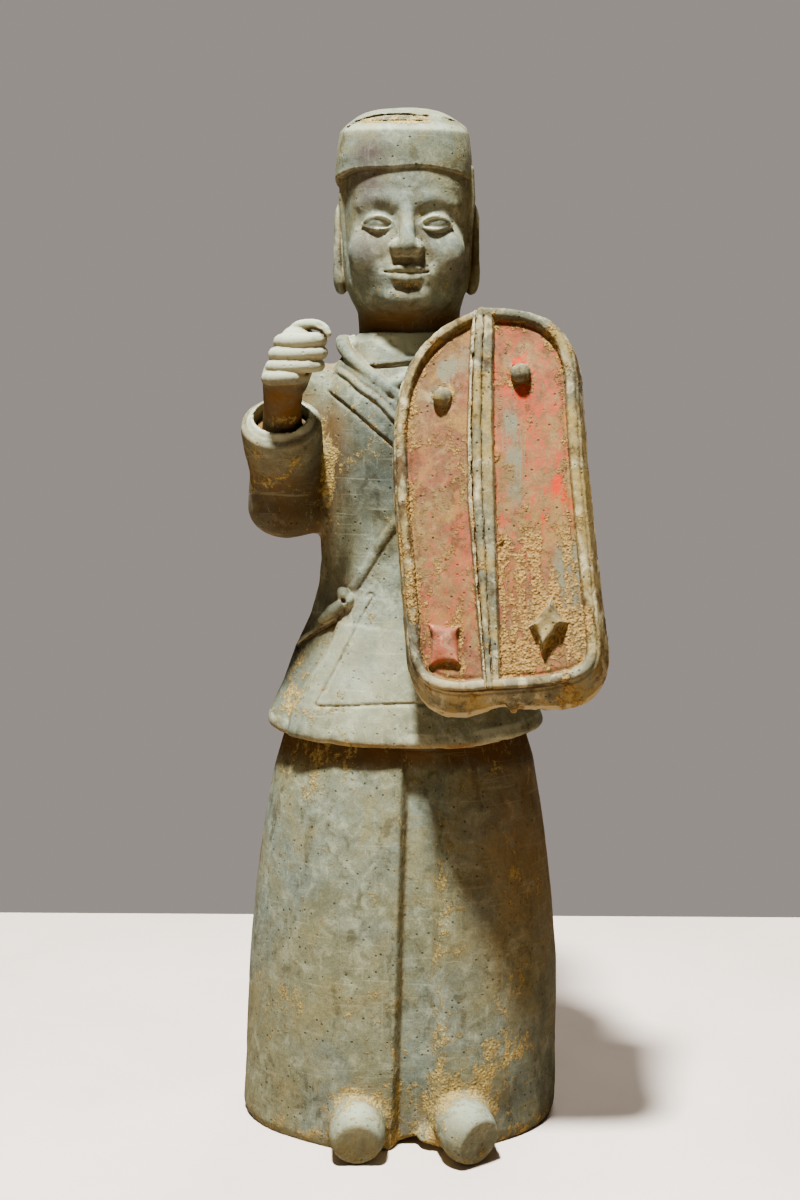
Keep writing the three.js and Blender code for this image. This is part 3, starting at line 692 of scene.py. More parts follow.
HEAD_X = 1.4
head_curve = curves([
    (466, 12, -22, 8), (469.5, 18, -31, 15), (474, 26, -38, 24), (480, 31.3, -42, 32),
    (488, 34.8, -43.4, 38), (500, 36.6, -43.7, 42), (514, 37.3, -43.7, 45), (528, 37.4, -43.9, 46.5),
    (543, 36.6, -44.7, 46.5), (556, 35.5, -44.4, 46), (575, 34, -42, 45),
], 4.0)
cap_curve = curves([
    (545, 38.8, 45.6, 47.0), (549, 39.5, 46.1, 47.8), (556, 39.2, 46.2, 48.2), (566, 38.4, 46.0, 47.8),
    (576.4, 37.1, 45.7, 47.4), (577.6, 36.7, 45.1, 47.0), (584.5, 34.9, 40.9, 45.6),
    (587.2, 33.9, 38.6, 44.6), (589.2, 32.4, 36.6, 43.4), (594, 28, 31, 40),
], 1.2)
CAP_LEAN = ((556, 575, 583, 610), (0.0, 0.17, 0.236, 0.236))
CAP_DROP = 9.0


def cap_level(at):
    """Height above the brim measured square to the leaning plate, without and with its dome"""
    level = at[2] - np.interp(at[2], *CAP_LEAN).astype(np.float32) * at[1]
    return level, level + CAP_DROP * (np.abs(at[0] - 0.6) / 34) ** 3


def broken_strip(at):
    """Where the front edge of the cap's plate is broken away, and the crack above it"""
    level, domed = cap_level(at)
    ragged = 4.0 * (cloud(at, (8, 8, 5), 3, 2) - 0.5)
    inward = -oval(at[0], at[1], 32.4, -36.6, 43.4, -0.4, 2.3)
    place = ramp(-at[1], 14, 20) * ramp(at[0], -34, -31) * ramp(14 + ragged - at[0], 0, 3)
    strip = place * ramp(level + 0.4 * ragged, 580.8, 581.6) * ramp(1.0 + ragged - inward, 0, 1)
    groove = place * bell(domed + 0.5 * ragged, 587.6, 0.8)
    groove = groove + 0.6 * place * bell(level - 0.3 * ragged, 583.4, 0.5)
    return strip, groove


def face_work(shape, p):
    """A calm, plain face set out on even thirds: brow, base of the nose, chin"""
    x = p[0] - HEAD_X
    q = np.stack([np.abs(x), p[1], p[2]])
    shape = add(shape, pellet(q, (20, -32.6, 505), (12.5, 9.8, 13)), 8.0)
    shape = add(shape, pellet(q, (0, -36.2, 492.5), (15, 9.8, 11)), 7.0)
    shape = add(shape, pellet(q, (0, -37.6, 479.2), (12.5, 8.0, 7.4)), 6.0)
    shape = carve(shape, pellet(q, (15.8, -49.6, 522.0), (11.6, 7.0, 7.4)), 5.0)
    brow = soft_line([(4.5, -41.4, 531.4), (10, -41.4, 533.8), (17, -39.6, 534.4),
                      (25, -34.6, 531.4)], 1)
    shape = add(shape, roll(q, brow, [1.8, 2.2, 1.8, 1.0]), 6.0)
    nose = roll(q, [(0, -41.6, 534), (0, -44.8, 521), (0, -47.4, 511.5), (0, -48.6, 507.2)],
                [3.0, 3.6, 4.6, 5.4])
    shape = add(shape, nose, 3.6)
    shape = add(shape, pellet(q, (5.8, -45.4, 506.2), (3.6, 5.0, 3.6), turn=0.4), 3.4)
    shape = carve(shape, pellet(q, (3.4, -48.6, 502.0), (2.0, 2.6, 1.4)), 0.8)
    shape = add(shape, pellet(q, (15.8, -38.2, 520.6), (8.2, 6.2, 6.0)), 1.6)
    upper = soft_line([(7.4, -41.8, 519.4), (10.8, -44.0, 522.6), (15.8, -44.6, 524.0),
                       (20.8, -42.6, 522.8), (25.2, -38.6, 519.8)], 1)
    shape = add(shape, roll(q, upper, [0.7, 1.1, 1.1, 0.7]), 1.4)
    lower = soft_line([(7.6, -41.8, 518.8), (11, -43.6, 517.0), (15.8, -44.0, 516.4),
                       (20.6, -42.2, 517.2), (24.6, -38.8, 519.2)], 1)
    shape = add(shape, roll(q, lower, [0.5, 0.8, 0.8, 0.5]), 1.4)
    fold = soft_line([(8.4, -43.0, 524.6), (11.6, -44.6, 527.2), (15.8, -44.8, 528.2),
                      (20.6, -42.8, 527.0), (25.4, -38.6, 523.6)], 1)
    shape = carve(shape, roll(q, fold, [0.4, 0.6, 0.6, 0.4]), 2.0)
    shape = carve(shape, roll(q, [(0, -47.8, 500.6), (0, -47.2, 497.6)], [0.8, 1.2]), 1.8)
    top_lip = soft_line([(0, -46.2, 494.4), (3.4, -46.6, 495.2), (8, -44.4, 494.6),
                         (12.2, -41.0, 493.6)], 1)
    shape = add(shape, roll(q, top_lip, [2.0, 2.1, 1.7, 0.8]), 1.2)
    shape = add(shape, roll(q, [(0, -46.0, 489.2), (5, -45.2, 489.7), (11.2, -41.2, 492.2)],
                            [3.1, 2.7, 0.9]), 1.4)
    seam = soft_line([(0, -49.2, 492.0), (5, -48.2, 492.4), (10, -45.0, 492.9),
                      (13.6, -41.6, 493.7)], 1)
    shape = carve(shape, roll(q, seam, [0.7, 0.75, 0.6]), 0.6)
    shape = carve(shape, roll(q, [(0, -46.6, 484.6), (6, -45.8, 485.4)], [1.4, 0.9]), 3.4)
    crease = [(10.2, -46.6, 503.5), (14.4, -44.4, 499.5)]
    return carve(shape, roll(q, crease, [0.4, 0.2]), 4.0)


def ear_work(shape, p):
    q = np.stack([np.abs(p[0] - HEAD_X), p[1], p[2]])
    lock = roll(q, [(34.6, -18.0, 553), (35.6, -16.6, 538), (35.0, -16.0, 522), (33.6, -15.2, 503)],
                [3.2, 3.3, 2.9, 1.8])
    shape = add(shape, lock, 0.8)
    slot = roll(q, [(38.6, -10.0, 548), (39.6, -9.4, 532), (39.2, -9.2, 512), (36.0, -9.0, 492)],
                [2.0, 2.8, 2.4, 1.2])
    shape = carve(shape, slot, 0.8)
    ear = pellet(q, (38.6, 4.2, 512), (4.6, 10.8, 25.5), turn=0.1)
    ear = add(ear, pellet(q, (37.6, 0.8, 492.5), (3.6, 6.0, 7.5)), 4.0)
    ear = carve(ear, pellet(q, (43.4, 1.6, 514), (3.4, 6.0, 14)), 1.4)
    fold = roll(q, [(40.8, 0.2, 505), (41.2, 4.6, 512), (40.8, 3.6, 523)], [1.2, 1.3, 1.0])
    ear = add(ear, fold, 1.0)
    return add(shape, ear, 1.6)


def head_form(at):
    x, y, z = at
    wide, front, back = head_curve(z)
    power = np.interp(z, (512, 540), (2.2, 2.85)).astype(np.float32)
    form = oval(x, y, wide, front, back, HEAD_X, power)
    form = keep(form, np.abs(z - 518) - 51.2)
    neck = np.sqrt((x - 3) ** 2 + (y - 2) ** 2) - (30.4 - 1.3 * bell(z, 462, 14))
    neck = keep(neck, np.abs(z - 461.5) - 25.2, 1.0)
    form = add(form, neck, 5.0)
    form = within(form, at, (-40, -64, 464), (43, -24, 545), face_work)
    form = within(form, at, (-50, -28, 484), (53, 24, 562), ear_work)

    def hair(shape, p):
        comb = 0.35 * np.sin(p[0] * 1.9 + 0.6 * np.sin(p[2] * 0.11)) * ramp(p[1], 20, 34)
        side = 0.35 * np.sin(p[1] * 1.9 + 0.5 * np.sin(p[2] * 0.13))
        side = side * ramp(np.abs(p[0]), 30, 35) * ramp(34 - p[1], 0, 8)
        grow = ramp(p[1], 15, 18) * ramp(p[2], 497, 500)
        return shape - (1.5 + comb + side) * grow
    form = within(form, at, (-48, 12, 490), (50, 56, 556), hair)

    level, domed = cap_level(at)
    wide, front, back = cap_curve(level)
    power = np.interp(level, (560, 577, 589), (2.9, 2.6, 2.3)).astype(np.float32)
    cap = oval(x, y, wide, -front, back, -0.4, power)
    top = 589.4 + 0.35 * np.sin(x * 0.17) - 0.5 * bell(x, 12, 9)
    cap = keep(cap, domed - top, 1.4)
    brim = 548.0 + 2.4 * np.clip(1 - (x / 38) ** 2, 0, 1) * ramp(-y, 15, 40) + 0.5 * np.sin(x * 0.16)
    cap = keep(cap, brim - z, 1.5)

    def crack(shape, p):
        strip, groove = broken_strip(p)
        shape = shape + strip * (0.5 + 1.7 * cloud(p, (6, 4, 2.4), 5, 3)) + 1.8 * groove
        split = roll(p, [(19, -34.5, 580.6), (24.5, -30.5, 578.8), (30.5, -22, 578.2)], [0.6, 1.3, 0.7])
        return carve(shape, split, 0.5)
    cap = within(cap, at, (-46, -56, 562), (46, 30, 602), crack)
    return add(form, cap, 0.6)


# Hands

def seat_form(at, arm):
    cuff, axis = np.array(arm["cuff"], float), unit(arm["axis"])
    end = (at - column(cuff)).T @ axis.astype(np.float32)
    ring = np.sqrt(np.maximum(((at - column(cuff)) ** 2).sum(0) - end ** 2, 0))
    middle = -0.5 * (SOCKET_DEPTH - 0.3 + CUFF_HOLLOW)
    half = 0.5 * (SOCKET_DEPTH - 0.3 - CUFF_HOLLOW)
    return keep(ring - (SOCKET_RADIUS - 0.35), np.abs(end - middle) - half, 1.2)


def right_hand_form(at):
    form = roll(at, [(-62, -70, 433.0), (-59.5, -70.5, 443), (-57.3, -70.5, 451)], [10.6, 11.8, 10.8])
    cuff, axis = np.array(RIGHT_ARM["cuff"], float), unit(RIGHT_ARM["axis"])
    start = cuff - axis * (CUFF_HOLLOW + 3)
    heel = np.array((-65.5, -68, 434.0))
    form = add(form, roll(at, [start, start * 0.5 + heel * 0.5, heel], [11.2, 10.4, 11.4]), 3.0)
    form = add(form, seat_form(at, RIGHT_ARM), 1.4)
    rows = ((452.6, -67.9, -45.2, 4.35), (445.9, -71.0, -44.6, 4.1), (439.2, -72.6, -46.0, 3.95),
            (433.0, -75.0, -54.0, 3.75))
    for z, left, right, size in rows:
        finger = roll(at, soft_line([
            (left + 1.0, -67, z + 0.2), (left + size * 0.6, -76.8, z - 0.2),
            (0.5 * (left + right), -82.0, z - 0.3),
            (right - 2.6, -81.0, z + 0.5), (right, -73.6, z + 0.9)], 1),
            [size * 0.95, size, size * 1.03, size * 0.98, size * 1.02, size * 0.9])
        form = add(form, finger, 0.9)
    bend = roll(at, [(-47.6, -86.0, 454), (-47.0, -86.2, 446), (-48.6, -85.4, 439)], [0.9, 1.1, 0.8])
    form = carve(form, bend, 1.0)
    thumb = roll(at, soft_line([
        (-62, -60, 446), (-61.5, -65, 453), (-60.1, -70, 458), (-58, -73, 460.6), (-54.6, -74.5, 461.9),
        (-47.6, -76, 462.0), (-42.8, -77, 459.9), (-41.2, -77.4, 456.9)], 1),
        [4.4, 3.8, 3.1, 2.8, 2.8, 2.8, 2.7, 2.3])
    form = add(form, thumb, 0.7)
    nail = pellet(at, (-45.6, -79.9, 461.6), (2.8, 1.3, 1.9), lean=-0.6)
    return carve(form, nail, 0.6)


FOLD = math.tan(math.radians(9))
FLARE = math.tan(math.radians(13))
FIELD_DEPTH = 3.5
GRIP_LEVEL = -29.5
GRIP_RADIUS = 4.5
GRIP_HALF = 23


def shield_axes():
    tilt, yaw, roll_angle = math.radians(15), math.radians(10), math.radians(5.1)
    out = np.array((-math.sin(yaw) * math.cos(tilt), -math.cos(yaw) * math.cos(tilt), math.sin(tilt)))
    across = np.array((math.cos(yaw), -math.sin(yaw), 0.0))
    up = np.cross(out, across)
    lean_across = across * math.cos(roll_angle) + up * math.sin(roll_angle)
    lean_up = up * math.cos(roll_angle) - across * math.sin(roll_angle)
    return np.stack([lean_across, lean_up, out]).astype(np.float32)


SHIELD_AXES = shield_axes()
SHIELD_CENTRE = np.array((48, -88, 371.5), np.float32)


def on_shield(at):
    """Points in the shield's own flat frame: across, up its length, out of its front"""
    return SHIELD_AXES @ (at - SHIELD_CENTRE[:, None])


def left_hand_form(at):
    p = on_shield(at)
    x, y, z = p
    form = slab(p, (0, 0, GRIP_LEVEL - 3.5), (9.2, 14.5, 8.5), 6.0)
    ring = np.sqrt(x ** 2 + (z - GRIP_LEVEL) ** 2)
    for k in range(4):
        middle = (2 * k - 3) * 4.05
        finger = np.sqrt((ring - 8.5) ** 2 + (y - middle) ** 2) - (4.1 - 0.12 * k)
        form = add(form, finger, 0.9)
    form = add(form, roll(p, [(9, 15, GRIP_LEVEL - 8), (8, 19, GRIP_LEVEL),
                              (1, 19.5, GRIP_LEVEL + 7.5)],
                          [4.6, 4.3, 3.4]), 1.4)
    centre = SHIELD_AXES.T @ np.array((0, 0, GRIP_LEVEL - 6), np.float32) + SHIELD_CENTRE
    cuff, axis = np.array(LEFT_ARM["cuff"], float), unit(LEFT_ARM["axis"])
    start = cuff - axis * (CUFF_HOLLOW + 3)
    wrist = roll(at, [start, 0.5 * (start + centre), centre], [11.2, 10.2, 11.0])
    form = add(form, wrist, 3.0)
    form = add(form, seat_form(at, LEFT_ARM), 1.4)
    bar = rod(p, (0, -60, GRIP_LEVEL), (0, 60, GRIP_LEVEL), GRIP_RADIUS + 0.35)
    form = np.maximum(form, -bar)
    for end in (GRIP_HALF, -GRIP_HALF):
        form = np.maximum(form, -rod(p, (0, end, GRIP_LEVEL), (0, end, 0), 4.9))
    return form


# Shield: two leaves that fall back from a middle rib, in a raised edge

def bezier(start, first, second, end, count=40):
    t = np.linspace(0, 1, count, endpoint=False)[:, None]
    start, first, second, end = (np.array(v, float) for v in (start, first, second, end))
    return ((1 - t) ** 3 * start + 3 * (1 - t) ** 2 * t * first + 3 * (1 - t) * t ** 2 * second
            + t ** 3 * end)


def shield_outline():
    half = bezier((0, 105.5), (29, 104), (48.5, 98), (47, 55))
    side = np.array([(47, 55), (47, 34), (47, 13), (48.8, -34)], float)
    foot_right = bezier((50.7, -81), (51.2, -99), (42, -102), (20, -104.5), 24)
    foot_left = bezier((-20, -105), (-40, -103.5), (-48, -97), (-49, -79), 24)
    other = np.array([(-49, -79), (-50.9, -37), (-52.8, 5)], float)
    back = bezier((-52.8, 17), (-54, 80), (-37, 98), (0, 105.5))
    return np.vstack([half, side, foot_right, [(20, -104.5)], foot_left, other, back])


def edge_distance():
    sheet = Sheet((-80, -135), (80, 130), 0.6)
    gap, _, _, _ = sheet.line(shield_outline(), closed=True)
    u, v = sheet.u, sheet.v
    points = shield_outline()
    inside = np.zeros(sheet.height.shape, bool)
    ahead = np.roll(points, -1, 0)
    for (ax, ay), (bx, by) in zip(points, ahead):
        if ay == by:
            continue
        spans = (ay > v) != (by > v)
        inside ^= spans & (u < (bx - ax) * (v - ay) / (by - ay) + ax)
    sheet.height = np.where(inside, -gap, gap).astype(np.float32)
    return sheet


SHIELD_EDGE = edge_distance()


RIB_LINE = ((-110, -94, -50, 0, 40, 75, 105), (-5.2, -5.4, -6.0, -6.3, -5.2, -3.0, -0.4))
RIB_HALF = ((-110, -94, -50, 0, 40, 75, 105), (3.4, 3.8, 5.0, 6.2, 6.0, 5.5, 4.8))


def rib_place(y):
    """Sideways place and half width of the middle rib along the shield"""
    return (np.interp(y, *RIB_LINE).astype(np.float32), np.interp(y, *RIB_HALF).astype(np.float32))


def boss(p, middle, along, across, horns):
    """A four-cornered boss with pinched sides and drawn-up corners"""
    area = along[0] * across[1] - along[1] * across[0]
    dx, dy = p[0] - middle[0], p[1] - middle[1]
    u = (dx * across[1] - dy * across[0]) / area
    v = (dy * along[0] - dx * along[1]) / area
    a, b = np.abs(u), np.abs(v)
    big = np.maximum(a, b)
    corner = np.minimum(a, b) / np.maximum(big, 0.05)
    side = (big - (0.85 + 0.15 * corner ** 3)) * area / max(math.hypot(*along), math.hypot(*across))
    lift = 0.0
    for (hu, hv), rise in horns:
        lift = lift + rise * np.exp(-((u - hu * 0.8) ** 2 + (v - hv * 0.8) ** 2) / 0.30)
    base = -abs(middle[0]) * FOLD - FIELD_DEPTH
    top = p[2] - (base + 4.8 - 1.0 * big ** 2 + lift)
    return keep(side + 0.34 * (p[2] - base), top, 1.6)


def shield_front(x, y, inset):
    """Height of the carved front over the folded leaves"""
    bead = 0.9 * np.sqrt(np.clip(1 - ((inset - 2.3) / 2.3) ** 2, 0, 1)) - 0.5
    floor = -0.5 - (FIELD_DEPTH - 0.5) * ramp(inset, 4.5, 6.2) - 0.7 * bell(inset, 6.9, 1.3)
    off_rib, half = rib_place(y)
    off = (x - off_rib) / half
    dish = -0.6 * bell(np.abs(off * half), 26, 13) * ramp(inset, 7, 15)
    height = np.where(inset < 4.5, bead, floor) + dish
    ridge = 1.7 * np.sqrt(np.clip(1 - ((off + 0.26) / 0.36) ** 2, 0, 1))
    left_bead = 1.0 * bell(off, -0.9, 0.13)
    right_bead = 0.5 * bell(off, 0.9, 0.12)
    crack = -1.8 * bell(off, -0.71, 0.08) - 1.0 * bell(off, 0.16, 0.09) - 0.5 * ramp(off, 0.1, 0.3)
    rib = 0.3 + ridge + left_bead + right_bead + crack
    slope = 0.3 - (np.abs(off) - 1.0) * half * 2.4
    return np.maximum(height, np.where(np.abs(off) < 1.0, rib, slope))


def shield_form(at):
    p = on_shield(at)
    x, y, z = p
    back_drop = np.maximum(0.0, -8.1 - z)
    stretch = 8.0 * (np.minimum(y, 0) / 105.5) ** 6 * back_drop / 28.0
    edge = SHIELD_EDGE.read(x, y + stretch)
    edge = edge - back_drop * FLARE - 0.9 * ramp(back_drop, 1.5, 2.6)
    fold = -np.sqrt((x - rib_place(y)[0]) ** 2 + 1.0) * FOLD
    inset = -SHIELD_EDGE.read(x, y)
    front = z - fold - shield_front(x, y, inset)
    depth = np.interp(y, (-106, 106), (20, 10)).astype(np.float32)
    form = keep(edge, front, 1.8)
    form = keep(form, -np.abs(x) * FOLD - depth - z, 1.6)
    hollow = keep(11.0 - inset, z - (fold - 7.5), 1.5)
    form = carve(form, hollow, 1.2)

    def fittings(shape, q):
        for x0, y0 in ((-25.5, 58.0), (17.9, 67.5)):
            base = -abs(x0) * FOLD - FIELD_DEPTH
            shape = add(shape, pellet(q, (x0, y0, base + 0.8), (5.2, 5.2, 5.8)), 1.0)
        shape = add(shape, boss(q, (-29.7, -79.3), (9.2, -0.7), (0.5, 11.8), (
            ((-1, 1), 1.6), ((1, 1), 2.6), ((1, -1), 1.4), ((-1, -1), -1.6))), 1.2)
        shape = add(shape, boss(q, (25.1, -71.4), (6.9, 8.0), (-3.3, 7.4), (
            ((-1, 1), 3.0), ((1, 1), 3.0), ((1, -1), 1.6), ((-1, -1), 2.2))), 1.2)
        return shape
    index = np.flatnonzero((z > -14) & (z < 14))
    if len(index):
        form[index] = fittings(form[index], p[:, index])
    grip = rod(p, (0, -GRIP_HALF, GRIP_LEVEL), (0, GRIP_HALF, GRIP_LEVEL), GRIP_RADIUS)
    for end in (-GRIP_HALF, GRIP_HALF):
        grip = add(grip, rod(p, (0, end, GRIP_LEVEL), (0, end, -5.5), GRIP_RADIUS), 1.5)
    index = np.flatnonzero(z < -4)
    if len(index):
        form[index] = add(form[index], grip[index], 1.5)
    spur = roll(p, [(3.4, -106, -17), (3.8, -114.6, -19)], [4.2, 1.6])
    return add(form, spur, 2.0)


# Unevenness and notes for each piece

def near_point(at, centre, size):
    """One at the centre, fading to nothing over the size given for each direction"""
    offset = (at - column(centre)) / column(np.broadcast_to(size, (3,)))
    return np.exp(-(offset * offset).sum(0))


def kept_marks(**marks):
    """The marks of a piece, held between none and full"""
    return {name: np.clip(values, 0, 1) for name, values in marks.items()}


def worked_clay(at, out, notes, wave=0.35, grain=0.16, chips=0.9):
    """Waves left by the hands, fine grain, and chipped arrises"""
    lumps = (cloud(at, 26, 1, 2) - 0.5) * 2 * wave
    fine = (cloud(at, 4.2, 2, 2) - 0.5) * 2 * grain
    edge = ramp(notes["proud"], 0.32, 0.7)
    loss = ramp(cloud(at, 9, 5, 2), 0.56, 0.72) * edge * chips
    return lumps + fine - loss


def crust(at, soil, depth):
    """Crumbs of dried soil standing on the clay"""
    crumbs = ramp(cloud(at, 3.1, 11, 2), 0.42, 0.75)
    return soil * depth * (0.25 + crumbs)


def robe_marks(at, out, notes):
    x, y, z = at
    patches = cloud(at, 30, 21, 3)
    flute_left, flute_right = flute_edges(z)
    front = ramp(-y, 10, 40)
    soil = 0.28 * bell(x, flute_right + 2, 6) * front * ramp(215 - z, 0, 40)
    soil = soil + 0.15 * bell(x, flute_left + 1, 3.4) * front
    soil = soil + 0.42 * near_point(at, (-23, -72, 22), (26, 18, 20))
    soil = soil + 0.42 * near_point(at, (40, -70, 24), (27, 18, 24))
    soil = soil + 0.22 * ramp(150 - z, 0, 140) * ramp(patches, 0.5, 0.7) * ramp(x, 10, 50) + 0.14
    soil = soil + 0.35 * near_point(at, (-45, -45, 222), (30, 30, 10))
    soil = soil + 0.1 * ramp(x, 10, 60) * ramp(z, 120, 215) + 0.2 * ramp(14 - z, 0, 10)
    soil = soil + 0.35 * notes["hollow"] + 0.2 * ramp(patches, 0.58, 0.75)
    # Painted warm shade: brown under the jacket's hem, down the robe's right side and in the broad
    # folds.
    warm = 0.9 * ramp(z, 212, 224) + 0.5 * ramp(x, 20, 70) * ramp(z, 40, 200) + 0.8 * notes["dell"]
    # Painted highlight: the lit tops of the two toes are made paler.
    toes = sum(near_point(at, (side, -88, 28), (15, 13, 12)) for side in (-23.3, 38.5))
    # Painted shade: darker under the jacket's hem and down the robe's right side; the random darker
    # patches are the clay's own tone.
    dim = 0.8 * ramp(z, 208, 222) + 0.25 * ramp(patches, 0.5, 0.35) + 0.3 * ramp(x, 30, 80)
    return kept_marks(soil=soil, warm=warm, pale=toes, dim=dim)


def robe_relief(at, out, notes):
    return worked_clay(at, out, notes, 0.55, 0.2) + crust(at, notes["soil"], 0.35)


def jacket_marks(at, out, notes):
    x, y, z = at
    patches = cloud(at, 24, 31, 3)
    front = ramp(-y, 8, 24)
    soil = 0.36 * near_point(at, (-44, -16, 388), (6, 18, 30)) + 0.3 * notes["hollow"] + 0.12
    soil = soil + 0.3 * near_point(at, (-60, -34, 262), (7, 22, 30)) * front
    soil = soil + 0.24 * ramp(patches, 0.55, 0.72)
    soil = soil + 0.12 * near_point(at, (-70, -30, 384), (22, 22, 24))
    soil = soil + 0.3 * ramp(233 - z, 0, 5)
    # Painted warm shade: brown along the hem's lower edge, where there is soil too, over the raised
    # arm's sleeve and in the broad folds.
    arm = near_point(at, (-68, -26, 378), (26, 30, 32))
    warm = 0.75 * ramp(232.5 - z, 0, 3) + 0.8 * arm + 0.7 * notes["dell"]
    # Painted highlight: the rim of the raised cuff is made paler.
    cuff = ramp(notes["proud"], 0.12, 0.4) * near_point(at, (-68, -52, 412), (30, 20, 24))
    pale = cuff + 0.6 * near_point(at, (-20, -44, 262), (36, 30, 40)) \
        + 0.3 * near_point(at, (-5, -32, 447), (26, 14, 12))
    # Painted shade: darker over the raised arm's sleeve, between it and the body and on the waist below
    # it; also darker on the chest, a little all over and in random patches.
    dim = 0.7 * near_point(at, (-8, -40, 390), (36, 24, 36)) + 0.9 * arm * (1 - cuff) + 0.1
    dim = dim + 0.6 * near_point(at, (-48, -14, 385), (12, 26, 40)) * (1 - cuff)
    dim = dim + 0.5 * near_point(at, (-62, -20, 290), (12, 30, 60)) + 0.3 * ramp(patches, 0.45, 0.3)
    return kept_marks(soil=soil, warm=warm, pale=pale, dim=dim)


def jacket_relief(at, out, notes):
    return worked_clay(at, out, notes, 0.45, 0.16) + crust(at, notes["soil"], 0.3)


def head_marks(at, out, notes):
    x, y, z = at
    patches = cloud(at, 14, 41, 3)
    front = ramp(-y, 10, 30)
    level, _ = cap_level(at)
    strip, groove = broken_strip(at)
    strip = strip * ramp(z, 566, 572)
    soil = 0.25 * notes["hollow"] + 0.5 * strip + 0.4 * near_point(at, (24, -34, 579), (9, 8, 2.5))
    soil = soil + 0.22 * ramp(patches, 0.5, 0.68) + 0.25 * near_point(at, (0, -46, 575), (34, 10, 3))
    # Painted warm shade: brown in the broad folds and on the neck under the chin; a little also on the
    # broken strip.
    warm = 0.35 * notes["dell"] + 0.9 * ramp(480 - z, 0, 14) * ramp(z, 452, 462) + 0.2 * strip
    mauve = sum(depth * near_point(at, place, size) for depth, place, size in (
        (1.0, (-19, -46, 560), (11, 14, 7)), (1.0, (-20, -40, 541), (10, 16, 11)),
        (0.8, (-21, -38, 507), (9, 14, 10)), (0.7, (28, -28, 497), (8, 14, 12))))
    # Painted highlight along the front edge of the cap's plate.
    pale = 0.5 * front * bell(level, 578.5, 3) * ramp(z, 560, 566)
    deep = notes["hollow"] + 0.9 * groove * ramp(z, 566, 572)
    # Painted shade: darker on the front wall of the cap below its plate and on the neck under the chin;
    # the broken strip is darker too.
    dim = 0.32 * front * ramp(576 - level, -3, 4) * ramp(z, 546, 552)
    dim = dim + 0.6 * ramp(485 - z, 0, 14) * ramp(z, 450, 460) + 0.3 * strip
    return kept_marks(soil=soil, warm=warm, pale=pale, mauve=mauve, hollow=deep, dim=dim)


def head_relief(at, out, notes):
    return worked_clay(at, out, notes, 0.22, 0.10, 0.6) + crust(at, notes["soil"], 0.25)


def fist_marks(at, out, notes):
    x, y, z = at
    # Painted light and shade: warm brown under the raised fist, in its creases and under its wrist,
    # paler over its top, and darker towards its bottom, which darkens the whole grip fist.
    warm = ramp(430 - z, 0, 10) * ramp(at[1], -80, -60) + 0.8 * notes["hollow"]
    wrist_shade = near_point(at, (-66, -72, 423), (12, 12, 9))
    soil = 0.4 * notes["hollow"] + 0.5 * near_point(at, (-66, -60, 410), (14, 12, 6))
    pale = ramp(z, 428, 436)
    return kept_marks(soil=soil, warm=warm + wrist_shade, pale=pale, dim=0.6 * ramp(434 - z, 0, 8))


def fist_relief(at, out, notes):
    return worked_clay(at, out, notes, 0.14, 0.10, 0.3)


